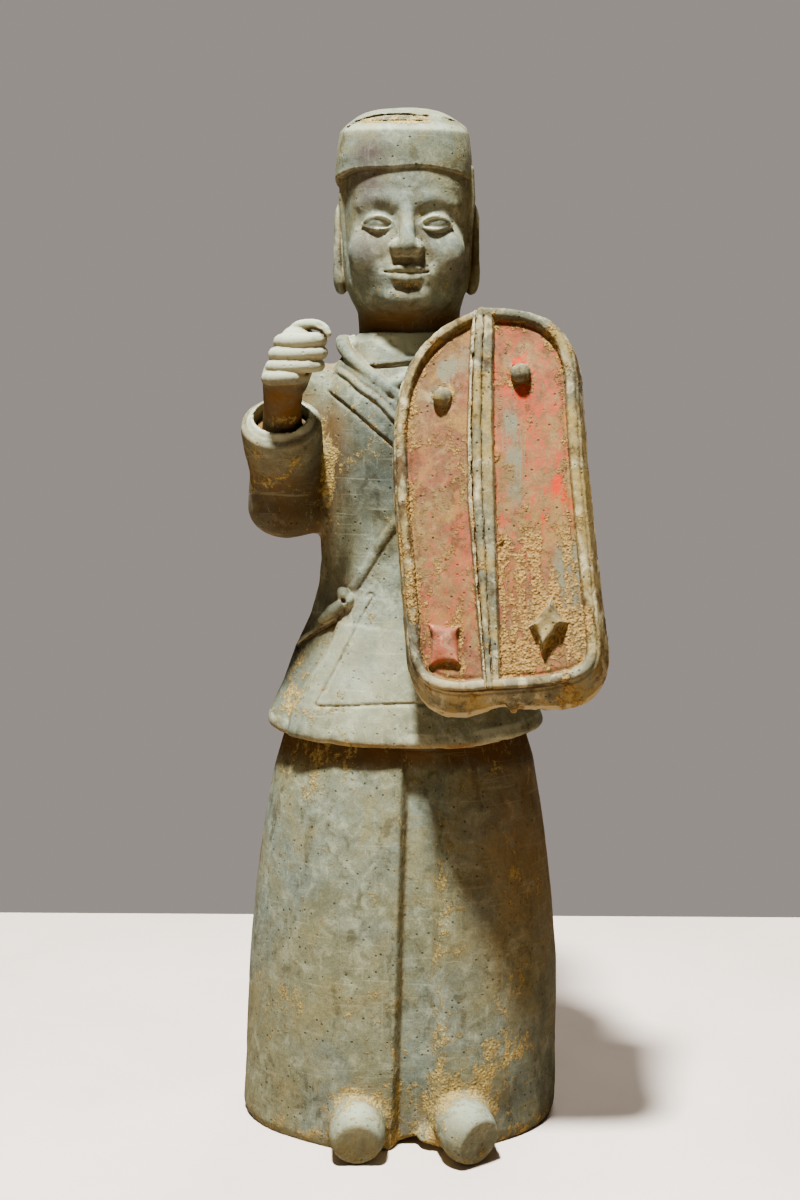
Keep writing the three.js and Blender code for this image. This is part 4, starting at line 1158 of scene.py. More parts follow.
def shield_marks(at, out, notes):
    x, y, z = local = on_shield(at)
    inset = -SHIELD_EDGE.read(x, y)
    facing = ramp((SHIELD_AXES[2][:, None] * out).sum(0), 0.1, 0.5)
    fold = -np.abs(x) * FOLD
    middle, half = rib_place(y)
    off = x - middle
    floor = ramp(inset, 4.8, 6.2) * ramp(np.abs(off), half, half + 1.2) * facing
    studs = [near_point(local, place, size) for place, size in (
        ((-27.0, 59.5, -5), (6.5, 6.5, 9)), ((17.7, 68.2, -5), (6, 6, 9)),
        ((24.8, -72.4, -4), (10, 12, 9)))]
    leaf = np.clip(floor - 1.4 * (studs[0] + studs[1] + studs[2]), 0, 1)
    raised = ramp(z - fold + FIELD_DEPTH, 1.2, 2.6) * ramp(inset, 7, 9)
    raised = raised * ramp(np.abs(off), half + 1.5, half + 3)
    leaf = leaf * (1 - raised)
    streak = cloud(local, (4, 22, 20), 51, 3)
    blotch = cloud(local, 13, 52, 3)
    right = ramp(x, -4, 1)
    low = ramp(-y, -10, 90)
    soil = floor * (0.10 + 0.30 * low * (0.6 + 0.4 * right) + 0.45 * bell(off - half - 3, 0, 6) * low)
    soil = soil + floor * 0.25 * bell(inset, 8, 3.5) * ramp(y, -60, 60)
    soil = soil + floor * (0.30 * near_point(local, (22, -38, 0), (20, 22, 40))
                           + 0.22 * near_point(local, (-18, 25, 0), (18, 40, 40)))
    soil = soil + 0.5 * notes["hollow"] + (1 - floor) * (0.12 + 0.35 * ramp(blotch, 0.45, 0.65))
    soil = soil * (0.5 + 0.8 * ramp(streak, 0.3, 0.6)) + 0.2 * ramp(blotch, 0.5, 0.62) * floor
    soil = soil * (1 - raised)
    pink = leaf * (0.24 + 0.16 * right + 0.26 * near_point(local, (-18, -45, 0), (18, 34, 40)))
    pink = pink + leaf * right * 0.2 * near_point(local, (22, 50, 0), (18, 50, 40))
    pink = pink + raised * np.where(y < 0, np.where(x < 0, 0.7, 0.3), 0.0)
    sway = y + 0.28 * (x - 26) + 3.0 * np.sin(x * 0.35)
    bright = floor * right * (0.62 * bell(sway, 2, 5) * ramp(x, 6, 12) + 0.75 * bell(sway, -14, 5)
                              + 0.7 * bell(sway, -28, 4) * ramp(28 - x, 0, 12)
                              + 0.6 * near_point(local, (36, 8, 0), (7, 12, 40))
                              + 0.5 * near_point(local, (16, 82, 0), (12, 12, 40))
                              + 0.45 * near_point(local, (15, 46, 0), (8, 12, 40))
                              + 0.4 * near_point(local, (26, 44, 0), (14, 18, 40)))
    bright = bright + 0.4 * (1 - right) * leaf * near_point(local, (-24, 66, 0), (12, 12, 40))
    knob = np.hypot(x - 17.7, y - 67.8)
    bright = bright + 0.95 * bell(knob, 7.2, 1.8) * facing
    grey = leaf * sum(depth * near_point(local, (*place, 0), (*size, 40)) for depth, place, size in (
        (1.0, (11, 42), (5, 7)), (1.0, (13, 22), (6, 6)), (1.0, (41, -60), (8, 34)),
        (0.8, (12, 4), (5, 9)), (0.7, (36, -40), (8, 12)), (0.5, (-14, 78), (12, 10))))
    scar = ramp(6.4 - np.hypot(x + 22.8, y - 73.9), 0, 1.2) * facing
    shine = (1 - floor) * facing
    grey = np.clip(grey + scar + raised * np.where(x < 0, 0.1, 0.3), 0, 1)
    grey = np.clip(grey + shine * (0.2 * ramp(off / half, 0.05, 0.4) * ramp(1.2 - off / half, 0, 0.2)
                                   + 0.8 * near_point(local, (44, -96, 0), (16, 14, 60))), 0, 1)
    pale = 0.9 * near_point(local, (-8.2, -0.7, 2), (1.4, 2.2, 4)) * facing
    pale = pale + shine * 0.45 * near_point(local, (-30, -101, 0), (34, 7, 60))
    # Painted shade over some soil stain: the down-facing wall under the foot and the hollows of the
    # walls and raised parts take the dark brown of the foot wall.
    under = ramp(-y, 100, 106) * (1 - facing)
    warm = under + 0.5 * notes["dell"] * (1 - facing) + 0.5 * notes["dell"] * shine
    bright = 0.6 * bright
    return kept_marks(soil=soil * (1 - 0.8 * scar) * (1 - under), pink=pink * (1 - 0.8 * grey),
                      bright=bright * (1 - 0.9 * grey), grey=grey, pale=pale, warm=warm, leaf=leaf,
                      proud=notes["proud"] * (1 - floor))


def shield_relief(at, out, notes):
    rough = worked_clay(at, out, notes, 0.22, 0.10, 0.8)
    crumbs = ramp(cloud(at, 1.5, 11, 2), 0.4, 0.75) + 0.2 * ramp(cloud(at, 4.5, 12, 2), 0.5, 0.75)
    lip = 0.35 * ramp(cloud(at, 7, 14, 2), 0.4, 0.7) * (1 - notes["leaf"])
    return rough + notes["soil"] * 0.5 * crumbs + lip


# Materials

def tone(red, green, blue):
    """A colour from everyday 0 to 255 values"""
    def linear(value):
        value /= 255.0
        return value / 12.92 if value <= 0.04045 else ((value + 0.055) / 1.055) ** 2.4
    return (linear(red), linear(green), linear(blue))


class Wires:
    """Short names for laying shader nodes"""

    def __init__(self, tree):
        self.tree = tree

    def node(self, kind, **settings):
        made = self.tree.nodes.new(kind)
        for key, value in settings.items():
            setattr(made, key, value)
        return made

    def feed(self, socket, value):
        if isinstance(value, bpy.types.NodeSocket):
            self.tree.links.new(value, socket)
        elif hasattr(value, "__len__") and len(value) == 3 and socket.type == "RGBA":
            socket.default_value = (*value, 1.0)
        else:
            socket.default_value = value

    def maths(self, kind, a, b=0.0, c=None):
        made = self.node("ShaderNodeMath", operation=kind)
        self.feed(made.inputs[0], a)
        self.feed(made.inputs[1], b)
        if c is not None:
            self.feed(made.inputs[2], c)
        return made.outputs[0]

    def span(self, value, low, high, to_low=0.0, to_high=1.0):
        made = self.node("ShaderNodeMapRange", interpolation_type="SMOOTHSTEP")
        self.feed(made.inputs["Value"], value)
        for key, number in zip(("From Min", "From Max", "To Min", "To Max"),
                               (low, high, to_low, to_high)):
            self.feed(made.inputs[key], number)
        return made.outputs["Result"]

    def blend(self, amount, first, second, kind="MIX"):
        made = self.node("ShaderNodeMix", data_type="RGBA", blend_type=kind)
        self.feed(made.inputs["Factor"], amount)
        self.feed(made.inputs[6], first)
        self.feed(made.inputs[7], second)
        return made.outputs[2]

    def noise(self, scale, detail=4.0, rough=0.55, twist=0.0, at=None, stretch=None, shift=0.0):
        place = at or self.node("ShaderNodeTexCoord").outputs["Object"]
        if stretch or shift:
            mapping = self.node("ShaderNodeMapping")
            self.feed(mapping.inputs["Vector"], place)
            mapping.inputs["Scale"].default_value = stretch or (1, 1, 1)
            mapping.inputs["Location"].default_value = (shift, shift * 0.7, shift * 1.3)
            place = mapping.outputs["Vector"]
        made = self.node("ShaderNodeTexNoise")
        self.feed(made.inputs["Vector"], place)
        self.feed(made.inputs["Scale"], scale)
        made.inputs["Detail"].default_value = detail
        made.inputs["Roughness"].default_value = rough
        made.inputs["Distortion"].default_value = twist
        return made.outputs["Fac"]

    def cells(self, scale):
        """Distance from the middle of each small cell, and a chance value for it"""
        place = self.node("ShaderNodeTexCoord").outputs["Object"]
        made = self.node("ShaderNodeTexVoronoi")
        self.feed(made.inputs["Vector"], place)
        self.feed(made.inputs["Scale"], scale)
        split = self.node("ShaderNodeSeparateColor")
        self.feed(split.inputs[0], made.outputs["Color"])
        return made.outputs["Distance"], split.outputs[0]

    def kept(self, name):
        return self.node("ShaderNodeAttribute", attribute_name=name,
                         attribute_type="GEOMETRY").outputs["Fac"]


def shader_group(name, inputs, outputs, build):
    """A node group with named sockets, made once"""
    tree = bpy.data.node_groups.get(name)
    if tree:
        return tree
    tree = bpy.data.node_groups.new(name, "ShaderNodeTree")
    kinds = {"colour": "NodeSocketColor", "value": "NodeSocketFloat"}
    for label, kind, default in inputs:
        socket = tree.interface.new_socket(name=label, in_out="INPUT", socket_type=kinds[kind])
        socket.default_value = (*default, 1.0) if kind == "colour" else default
    for label, kind in outputs:
        tree.interface.new_socket(name=label, in_out="OUTPUT", socket_type=kinds[kind])
    wires = Wires(tree)
    start = wires.node("NodeGroupInput").outputs
    end = wires.node("NodeGroupOutput").inputs
    for label, socket in build(wires, start).items():
        wires.feed(end[label], socket)
    return tree


def build_clay_mottle(wires, given):
    broad = wires.noise(12.0, 4.0, 0.55, 0.5)
    middle = wires.noise(40.0, 6.0, 0.62, 0.8, shift=3.1)
    blotch = wires.noise(105.0, 6.0, 0.66, 0.5, shift=6.3)
    fine = wires.noise(330.0, 5.0, 0.68, 0.2, shift=4.9)
    speck = wires.noise(1100.0, 3.0, 0.6, shift=9.7)
    smear = wires.noise(80.0, 5.0, 0.6, 0.4, stretch=(1.0, 1.0, 0.2), shift=12.1)
    colour = wires.blend(wires.span(broad, 0.42, 0.6), given["Clay"], given["Cool"])
    colour = wires.blend(wires.maths("MULTIPLY", wires.span(middle, 0.48, 0.64), given["Warmth"]),
                         colour, given["Warm"])
    bloom = wires.maths("MULTIPLY", wires.span(blotch, 0.48, 0.64), wires.span(middle, 0.62, 0.44))
    colour = wires.blend(wires.maths("MULTIPLY", bloom, given["Bloom"]), colour, given["Pale"])
    grime = wires.span(wires.maths("ADD", smear, blotch), 0.92, 0.78)
    colour = wires.blend(wires.maths("MULTIPLY", grime, given["Dirt"]), colour, given["Dark"])
    value = wires.maths("MULTIPLY", wires.span(blotch, 0.3, 0.7, 0.87, 1.11),
                        wires.span(fine, 0.3, 0.66, 0.86, 1.08))
    value = wires.maths("MULTIPLY", value, wires.span(speck, 0.36, 0.62, 0.86, 1.07))
    pits, seed = wires.cells(300.0)
    chance = wires.maths("ADD", seed, wires.maths("MULTIPLY", blotch, 0.5))
    pits = wires.maths("MULTIPLY", wires.span(pits, 0.26, 0.12), wires.span(chance, 0.98, 1.04))
    value = wires.maths("MULTIPLY", value, wires.span(pits, 0.0, 1.0, 0.76, 0.32))
    colour = wires.blend(1.0, colour, value, "MULTIPLY")
    height = wires.maths("MULTIPLY_ADD", fine, 0.5, wires.maths("MULTIPLY", speck, 0.3))
    height = wires.maths("MULTIPLY_ADD", blotch, 0.6, height)
    height = wires.maths("SUBTRACT", height, wires.maths("MULTIPLY", pits, 0.8))
    return {"Colour": colour, "Height": height}


def build_soil(wires, given):
    grain = wires.noise(480.0, 5.0, 0.7, shift=2.2)
    patch = wires.noise(75.0, 6.0, 0.68, 0.6, shift=5.5)
    crumb, seed = wires.cells(620.0)
    crumb = wires.span(crumb, 0.75, 0.05)
    fleck = wires.noise(210.0, 5.0, 0.7, 0.4, stretch=(1.0, 1.0, 0.7), shift=7.3)
    level = wires.maths("ADD", given["Amount"], wires.maths("MULTIPLY_ADD", grain, 0.9, -0.45))
    level = wires.maths("ADD", level, wires.maths("MULTIPLY_ADD", fleck, 1.3, -0.65))
    level = wires.maths("ADD", level, wires.maths("MULTIPLY_ADD", patch, 1.2, -0.6))
    mask = wires.span(level, 0.36, 0.6)
    soil = wires.blend(wires.span(grain, 0.36, 0.52), given["Dark soil"], given["Soil"])
    lighter = wires.maths("MULTIPLY", wires.span(seed, 0.4, 0.9), crumb)
    soil = wires.blend(lighter, soil, given["Light soil"])
    colour = wires.blend(wires.maths("MULTIPLY", mask, given["Cover"]), given["Base"], soil)
    grains = wires.maths("ADD", crumb, wires.maths("MULTIPLY", grain, 1.4))
    height = wires.maths("MULTIPLY", mask, grains)
    return {"Colour": colour, "Height": wires.maths("ADD", given["Base height"], height), "Mask": mask}


def build_wear(wires, given):
    break_up = wires.noise(130.0, 5.0, 0.65, 0.2, shift=4.4)
    level = wires.maths("ADD", given["Edge"], wires.maths("MULTIPLY_ADD", break_up, 0.8, -0.4))
    mask = wires.span(level, 0.3, 0.7)
    colour = wires.blend(wires.maths("MULTIPLY", mask, given["Strength"]), given["Base"], given["Worn"])
    return {"Colour": colour, "Mask": mask}


def build_paint(wires, given):
    flake = wires.noise(300.0, 6.0, 0.72, 0.6, stretch=(1.0, 1.0, 0.5), shift=1.7)
    broad = wires.noise(48.0, 5.0, 0.6, 0.8, stretch=(1.0, 1.0, 0.5), shift=7.7)
    level = wires.maths("ADD", given["Amount"], wires.maths("MULTIPLY_ADD", flake, 1.5, -0.75))
    level = wires.maths("ADD", level, wires.maths("MULTIPLY_ADD", broad, 1.1, -0.55))
    mask = wires.span(level, 0.2, 0.8)
    thin = wires.span(flake, 0.3, 0.65, 0.55, 1.0)
    colour = wires.blend(wires.maths("MULTIPLY", mask, thin), given["Under"], given["Paint"])
    return {"Colour": colour, "Mask": mask}


def build_tool_marks(wires, given):
    across = wires.noise(60.0, 3.0, 0.5, 0.25, stretch=(0.5, 0.5, 9.0), shift=2.9)
    along = wires.noise(60.0, 3.0, 0.5, 0.25, stretch=(9.0, 9.0, 0.5), shift=5.1)
    lines = wires.maths("MAXIMUM", wires.span(across, 0.6, 0.7), wires.span(along, 0.62, 0.72))
    mask = wires.maths("MULTIPLY", lines, given["Amount"])
    colour = wires.blend(mask, given["Base"], given["Mark"])
    return {"Colour": colour, "Depth": mask}


PLAIN = (0.5, 0.5, 0.5)
EFFECTS = {
    "clay_mottle": ([
        ("Clay", "colour", tone(150, 148, 122)), ("Cool", "colour", tone(150, 158, 146)),
        ("Warm", "colour", tone(160, 142, 104)), ("Pale", "colour", tone(190, 192, 176)),
        ("Dark", "colour", tone(104, 90, 62)), ("Warmth", "value", 0.5), ("Bloom", "value", 0.5),
        ("Dirt", "value", 0.4)],
        [("Colour", "colour"), ("Height", "value")], build_clay_mottle),
    "dried_soil": ([
        ("Base", "colour", PLAIN), ("Base height", "value", 0.0), ("Amount", "value", 0.0),
        ("Cover", "value", 1.0), ("Soil", "colour", tone(180, 152, 100)),
        ("Dark soil", "colour", tone(120, 92, 58)), ("Light soil", "colour", tone(206, 184, 136))],
        [("Colour", "colour"), ("Height", "value"), ("Mask", "value")], build_soil),
    "worn_arrises": ([
        ("Base", "colour", PLAIN), ("Worn", "colour", (0.6, 0.6, 0.6)), ("Edge", "value", 0.0),
        ("Strength", "value", 0.7)],
        [("Colour", "colour"), ("Mask", "value")], build_wear),
    "flaked_paint": ([
        ("Under", "colour", PLAIN), ("Paint", "colour", (0.6, 0.2, 0.1)), ("Amount", "value", 0.0)],
        [("Colour", "colour"), ("Mask", "value")], build_paint),
    "tool_marks": ([
        ("Base", "colour", PLAIN), ("Mark", "colour", (0.6, 0.6, 0.6)), ("Amount", "value", 0.3)],
        [("Colour", "colour"), ("Depth", "value")], build_tool_marks),
}


def placed(wires, effect, **values):
    """An effect's node group placed in a material with its own values"""
    made = wires.node("ShaderNodeGroup", node_tree=shader_group(effect, *EFFECTS[effect]))
    for key, value in values.items():
        wires.feed(made.inputs[key.replace("_", " ").capitalize()], value)
    return made.outputs


def blank_material(name):
    material = bpy.data.materials.new(name)
    material.use_nodes = True
    wires = Wires(material.node_tree)
    shader = material.node_tree.nodes["Principled BSDF"]
    return material, wires, shader


def surface(wires, shader, colour, height, roughness, distance):
    """Colour, roughness and fine bump into the clay's shader"""
    wires.feed(shader.inputs["Base Color"], colour)
    wires.feed(shader.inputs["Roughness"], roughness)
    shader.inputs["Specular IOR Level"].default_value = 0.22
    bump = wires.node("ShaderNodeBump")
    bump.inputs["Strength"].default_value = 0.8
    bump.inputs["Distance"].default_value = distance
    wires.feed(bump.inputs["Height"], height)
    wires.feed(shader.inputs["Normal"], bump.outputs["Normal"])


def clay_material(name, colours, warmth, bloom, marks, mauve=False, cover=0.85):
    material, wires, shader = blank_material(name)
    clay = placed(wires, "clay_mottle", clay=tuple(colours.clay), cool=tuple(colours.cool),
                  warm=tuple(colours.warm), pale=tuple(colours.pale), dark=tuple(colours.grime),
                  warmth=warmth, bloom=bloom, dirt=0.5)
    colour = clay["Colour"]
    if mauve:
        stain = wires.span(wires.noise(90.0, 5.0, 0.65, 0.4, shift=6.6), 0.32, 0.6, 0.4, 1.0)
        stain = wires.maths("MULTIPLY", wires.kept("mauve"), stain)
        colour = wires.blend(stain, colour, tuple(colours.mauve))
    # Paler where the 'pale' note asks: painted highlight on lit tops and rims, and some pale patches.
    colour = wires.blend(wires.maths("MULTIPLY", wires.kept("pale"), 0.7), colour, tuple(colours.pale))
    # Painted warm shade in the shade colour where the 'warm' note asks.
    warm = wires.maths("MULTIPLY", wires.kept("warm"), wires.span(
        wires.noise(55.0, 5.0, 0.6, 0.4, shift=8.8), 0.25, 0.6, 0.45, 1.0))
    colour = wires.blend(warm, colour, tuple(colours.shade))
    # Painted shade: the 'dim' note darkens the clay, to 0.42 at full, with some random darker patches.
    dim = wires.span(wires.kept("dim"), 0.0, 1.0, 1.0, 0.42)
    colour = wires.blend(1.0, colour, dim, "MULTIPLY")
    tools = placed(wires, "tool_marks", base=colour, mark=tuple(colours.pale), amount=marks)
    worn = placed(wires, "worn_arrises", base=tools["Colour"], worn=tuple(colours.pale),
                  edge=wires.kept("proud"), strength=0.55)
    soil = placed(wires, "dried_soil", base=worn["Colour"], base_height=clay["Height"],
                  amount=wires.kept("soil"), cover=cover, soil=tuple(colours.soil),
                  dark_soil=tuple(colours.dark_soil), light_soil=tuple(colours.light_soil))
    # Darker in the grooves and hollows.
    deep = wires.span(wires.kept("hollow"), 0.4, 1.0, 0.0, 0.66)
    colour = wires.blend(deep, soil["Colour"], tuple(colours.deep))
    height = wires.maths("SUBTRACT", soil["Height"], wires.maths("MULTIPLY", tools["Depth"], 0.5))
    roughness = wires.maths("MULTIPLY_ADD", soil["Mask"], 0.14, 0.80)
    surface(wires, shader, colour, height, roughness, 0.0005)
    return material


def shield_material(colours, paint):
    material, wires, shader = blank_material("painted_leaves")
    clay = placed(wires, "clay_mottle", clay=tuple(paint.rim), cool=tuple(paint.bare),
                  warm=tuple(colours.soil), pale=tuple(paint.worn), dark=tuple(paint.dark_crust),
                  warmth=0.9, bloom=0.9, dirt=0.75)
    leaf = placed(wires, "clay_mottle", clay=tuple(paint.tan), cool=tuple(paint.dusty),
                  warm=tuple(paint.crust), pale=tuple(paint.rim), dark=tuple(paint.dark_crust),
                  warmth=0.8, bloom=0.6, dirt=0.5)
    colour = wires.blend(wires.kept("leaf"), clay["Colour"], leaf["Colour"])
    colour = placed(wires, "flaked_paint", under=colour, paint=tuple(paint.pink),
                    amount=wires.kept("pink"))["Colour"]
    colour = placed(wires, "flaked_paint", under=colour, paint=tuple(paint.bright),
                    amount=wires.kept("bright"))["Colour"]
    colour = placed(wires, "flaked_paint", under=colour, paint=tuple(paint.bare),
                    amount=wires.kept("grey"))["Colour"]
    colour = wires.blend(wires.kept("pale"), colour, tuple(paint.worn))
    # Painted shade: the 'warm' note lays the dark foot-wall brown under the foot and in the hollows of
    # the walls.
    colour = wires.blend(wires.kept("warm"), colour, tuple(paint.foot))
    worn = placed(wires, "worn_arrises", base=colour, worn=tuple(paint.worn), edge=wires.kept("proud"),
                  strength=0.7)
    soil = placed(wires, "dried_soil", base=worn["Colour"], base_height=leaf["Height"],
                  amount=wires.kept("soil"), cover=0.85, soil=tuple(paint.crust),
                  dark_soil=tuple(paint.dark_crust), light_soil=tuple(paint.rim))
    # Darker in the grooves and hollows.
    deep = wires.span(wires.kept("hollow"), 0.4, 0.95, 0.0, 0.8)
    colour = wires.blend(deep, soil["Colour"], tuple(paint.dark_crust))
    roughness = wires.maths("MULTIPLY_ADD", soil["Mask"], 0.12, 0.80)
    surface(wires, shader, colour, soil["Height"], roughness, 0.0007)
    return material


def floor_material(colour):
    material, wires, shader = blank_material("pale_floor")
    dust = wires.noise(6.0, 5.0, 0.6, 0.2)
    soft = wires.blend(1.0, tuple(colour), (0.93, 0.92, 0.91), "MULTIPLY")
    seen = wires.blend(wires.span(dust, 0.35, 0.7), tuple(colour), soft)
    bounced = wires.blend(1.0, seen, (0.5, 0.4, 0.3), "MULTIPLY")
    from_eye = wires.node("ShaderNodeLightPath").outputs["Is Camera Ray"]
    wires.feed(shader.inputs["Base Color"], wires.blend(from_eye, bounced, seen))
    wires.feed(shader.inputs["Roughness"], wires.span(dust, 0.3, 0.7, 0.62, 0.72))
    return material


# Settings shown in the sidebar

def shade(label, about, value):
    return bpy.props.FloatVectorProperty(name=label, description=about, default=value, size=3,
                                         min=0.0, max=1.0, subtype="COLOR")


def power(label, about, value):
    return bpy.props.FloatProperty(name=label, description=about, default=value, min=0.0,
                                   max=500.0, subtype="POWER", unit="POWER")


def length(label, about, value):
    return bpy.props.FloatProperty(name=label, description=about, default=value, min=0.0002,
                                   max=10.0, precision=4, subtype="DISTANCE", unit="LENGTH")


class ClayColours(bpy.types.PropertyGroup):
    clay: shade("Clay", "Main grey-green of the fired clay", tone(144, 148, 122))
    cool: shade("Cool clay", "Blue-grey patches", tone(140, 152, 140))
    warm: shade("Warm clay", "Yellow-brown patches", tone(156, 151, 114))
    # Also laid as painted highlight on the toe tops, the raised cuff's rim, the fist's top and the
    # cap's front edge.
    pale: shade("Bloom", "Pale worn and dusty places", tone(190, 198, 176))
    # Painted warm shade under edges, in folds and on sides turned from the key light.
    shade: shade("Shade", "Brown clay under edges and in folds", tone(140, 106, 60))
    deep: shade("Deep hollows", "Dark earth in grooves", tone(70, 62, 44))
    grime: shade("Grime", "Dark smears over the clay", tone(100, 96, 72))
    soil: shade("Soil", "Ochre soil left in the recesses", tone(172, 154, 102))
    dark_soil: shade("Dark soil", "Darker grains of the soil", tone(118, 100, 64))
    light_soil: shade("Light soil", "Dry, dusty soil", tone(192, 178, 128))
    mauve: shade("Mauve stain", "Stains on the face and cap", tone(92, 82, 78))


class PaintColours(bpy.types.PropertyGroup):
    pink: shade("Faded red", "Old paint over the leaves", tone(168, 92, 70))
    bright: shade("Fresh red", "Best kept paint", tone(200, 62, 36))
    tan: shade("Bare leaf", "Clay under the paint", tone(146, 124, 88))
    dusty: shade("Dusty leaf", "Paint worn to a stain", tone(142, 106, 82))
    bare: shade("Grey leaf", "Places where the paint has flaked away", tone(122, 124, 106))
    rim: shade("Rim", "Raised edge and rib", tone(158, 144, 102))
    worn: shade("Worn rim", "Pale rubbed places of the rim", tone(200, 192, 160))
    # Painted shade over soil stain: the wall under the foot faces down, away from the key light.
    foot: shade("Foot wall", "Stained wall under the foot", tone(54, 36, 22))
    crust: shade("Crust", "Ochre crust on the leaves", tone(166, 138, 88))
    dark_crust: shade("Dark crust", "Dark grains of the crust", tone(96, 70, 42))


class DetailSizes(bpy.types.PropertyGroup):
    robe: length("Robe detail", "Size of the finest form on the robe", 0.0011)
    jacket: length("Jacket detail", "Size of the finest form on the jacket", 0.0009)
    head: length("Head detail", "Size of the finest form on the head", 0.0006)
    hand: length("Hand detail", "Size of the finest form on the hands", 0.0005)
    shield: length("Shield detail", "Size of the finest form on the shield", 0.00062)


class StageChoices(bpy.types.PropertyGroup):
    floor: shade("Floor", "Colour of the plain floor", tone(240, 231, 224))
    backdrop: shade("Backdrop", "Plain colour seen behind the figure", tone(149, 142, 138))
    bounce: shade("Surroundings", "Colour of the dim light from all round", tone(62, 54, 47))
    floor_size: length("Floor size", "Side of the square floor", 7.0)
    key: power("Key light", "Power of the main soft light", 125.0)
    fill: power("Fill light", "Power of the faint light from the left", 2.6)
    back: power("Back light", "Power of the soft light from behind", 15.0)


# One operator for each piece

def sculpt_box(node, margin=6.0):
    low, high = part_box(node)
    return np.array(low) / MM - margin, np.array(high) / MM + margin


def finish_piece(obj, node, material):
    if not len(obj.data.polygons):
        raise RuntimeError(obj.name + " came out empty")
    obj.data.materials.append(material)
    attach(obj, "root")
    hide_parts(node)


class WARRIOR_OT_robe(bpy.types.Operator):
    """Sculpt the long robe with its two toes"""
    bl_idname = "warrior.robe"
    bl_label = "Robe"

    def execute(self, context):
        colours = context.scene.warrior_clay
        low, high = sculpt_box("body")
        high[2] = ROBE_TOP + 4
        low[2] = -4
        obj = sculpt("robe_with_toes", robe_form, low, high, context.scene.warrior_detail.robe / MM,
                     TRIANGLES["robe"], robe_relief, robe_marks)
        finish_piece(obj, "body", clay_material("robe_clay", colours, 0.55, 0.32, 0.14))
        return {"FINISHED"}


class WARRIOR_OT_jacket(bpy.types.Operator):
    """Sculpt the wrapped jacket with its sleeves, lapels and flared hem"""
    bl_idname = "warrior.jacket"
    bl_label = "Jacket"

    def execute(self, context):
        colours = context.scene.warrior_clay
        low, high = sculpt_box("body")
        low[2] = JACKET_FOOT - 7.2
        obj = sculpt("wrapped_jacket", jacket_form, low, high,
                     context.scene.warrior_detail.jacket / MM, TRIANGLES["jacket"],
                     jacket_relief, jacket_marks)
        finish_piece(obj, "body", clay_material("jacket_clay", colours, 0.45, 0.45, 0.16))
        return {"FINISHED"}


class WARRIOR_OT_head(bpy.types.Operator):
    """Sculpt the head, its flat cap and the neck"""
    bl_idname = "warrior.head"
    bl_label = "Head"

    def execute(self, context):
        colours = context.scene.warrior_clay
        low, high = sculpt_box("head")
        obj = sculpt("head_with_cap", head_form, low, high, context.scene.warrior_detail.head / MM,
                     TRIANGLES["head"], head_relief, head_marks)
        finish_piece(obj, "head",
                     clay_material("head_clay", colours, 0.55, 0.45, 0.08, mauve=True))
        return {"FINISHED"}


class WARRIOR_OT_fists(bpy.types.Operator):
    """Sculpt the raised right fist and the left fist on the grip"""
    bl_idname = "warrior.fists"
    bl_label = "Fists"

    def execute(self, context):
        colours = context.scene.warrior_clay
        step = context.scene.warrior_detail.hand / MM
        material = clay_material("fist_clay", colours, 0.3, 0.6, 0.05)
        for name, node, form in (("raised_fist", "right_hand", right_hand_form),
                                 ("grip_fist", "left_hand", left_hand_form)):
            low, high = sculpt_box(node)
            obj = sculpt(name, form, low, high, step, TRIANGLES["fist"], fist_relief, fist_marks)
            finish_piece(obj, node, material)
        return {"FINISHED"}


class WARRIOR_OT_shield(bpy.types.Operator):
    """Sculpt the folded shield with its rib, studs, bosses and grip"""
    bl_idname = "warrior.shield"
    bl_label = "Shield"

    def execute(self, context):
        low, high = sculpt_box("shield")
        obj = sculpt("folded_shield", shield_form, low, high,
                     context.scene.warrior_detail.shield / MM, TRIANGLES["shield"],
                     shield_relief, shield_marks)
        finish_piece(obj, "shield",
                     shield_material(context.scene.warrior_clay, context.scene.warrior_paint))
        return {"FINISHED"}


class WARRIOR_OT_stage(bpy.types.Operator):
    """Set the plain floor, the soft light and the camera"""
    bl_idname = "warrior.stage"
    bl_label = "Stage"

    def execute(self, context):
        choices = context.scene.warrior_stage
        make_floor(choices)
        make_lights(choices)
        make_camera(context.scene)
        return {"FINISHED"}


def make_floor(choices):
    half = choices.floor_size / 2
    mesh = bpy.data.meshes.new("floor")
    corners = [(-half, -half, 0), (half, -half, 0), (half, FLOOR_BACK, 0), (-half, FLOOR_BACK, 0)]
    mesh.from_pydata(corners, [], [(0, 1, 2, 3)])
    floor = bpy.data.objects.new("floor", mesh)
    bpy.context.scene.collection.objects.link(floor)
    mesh.materials.append(floor_material(choices.floor))


def aimed_light(name, place, target, size, power, colour=(1, 1, 1)):
    data = bpy.data.lights.new(name, "AREA")
    data.shape = "DISK"
    data.size = size
    data.energy = power
    data.color = colour
    light = bpy.data.objects.new(name, data)
    light.location = place
    light.rotation_euler = (Vector(target) - Vector(place)).to_track_quat("-Z", "Y").to_euler()
    bpy.context.scene.collection.objects.link(light)


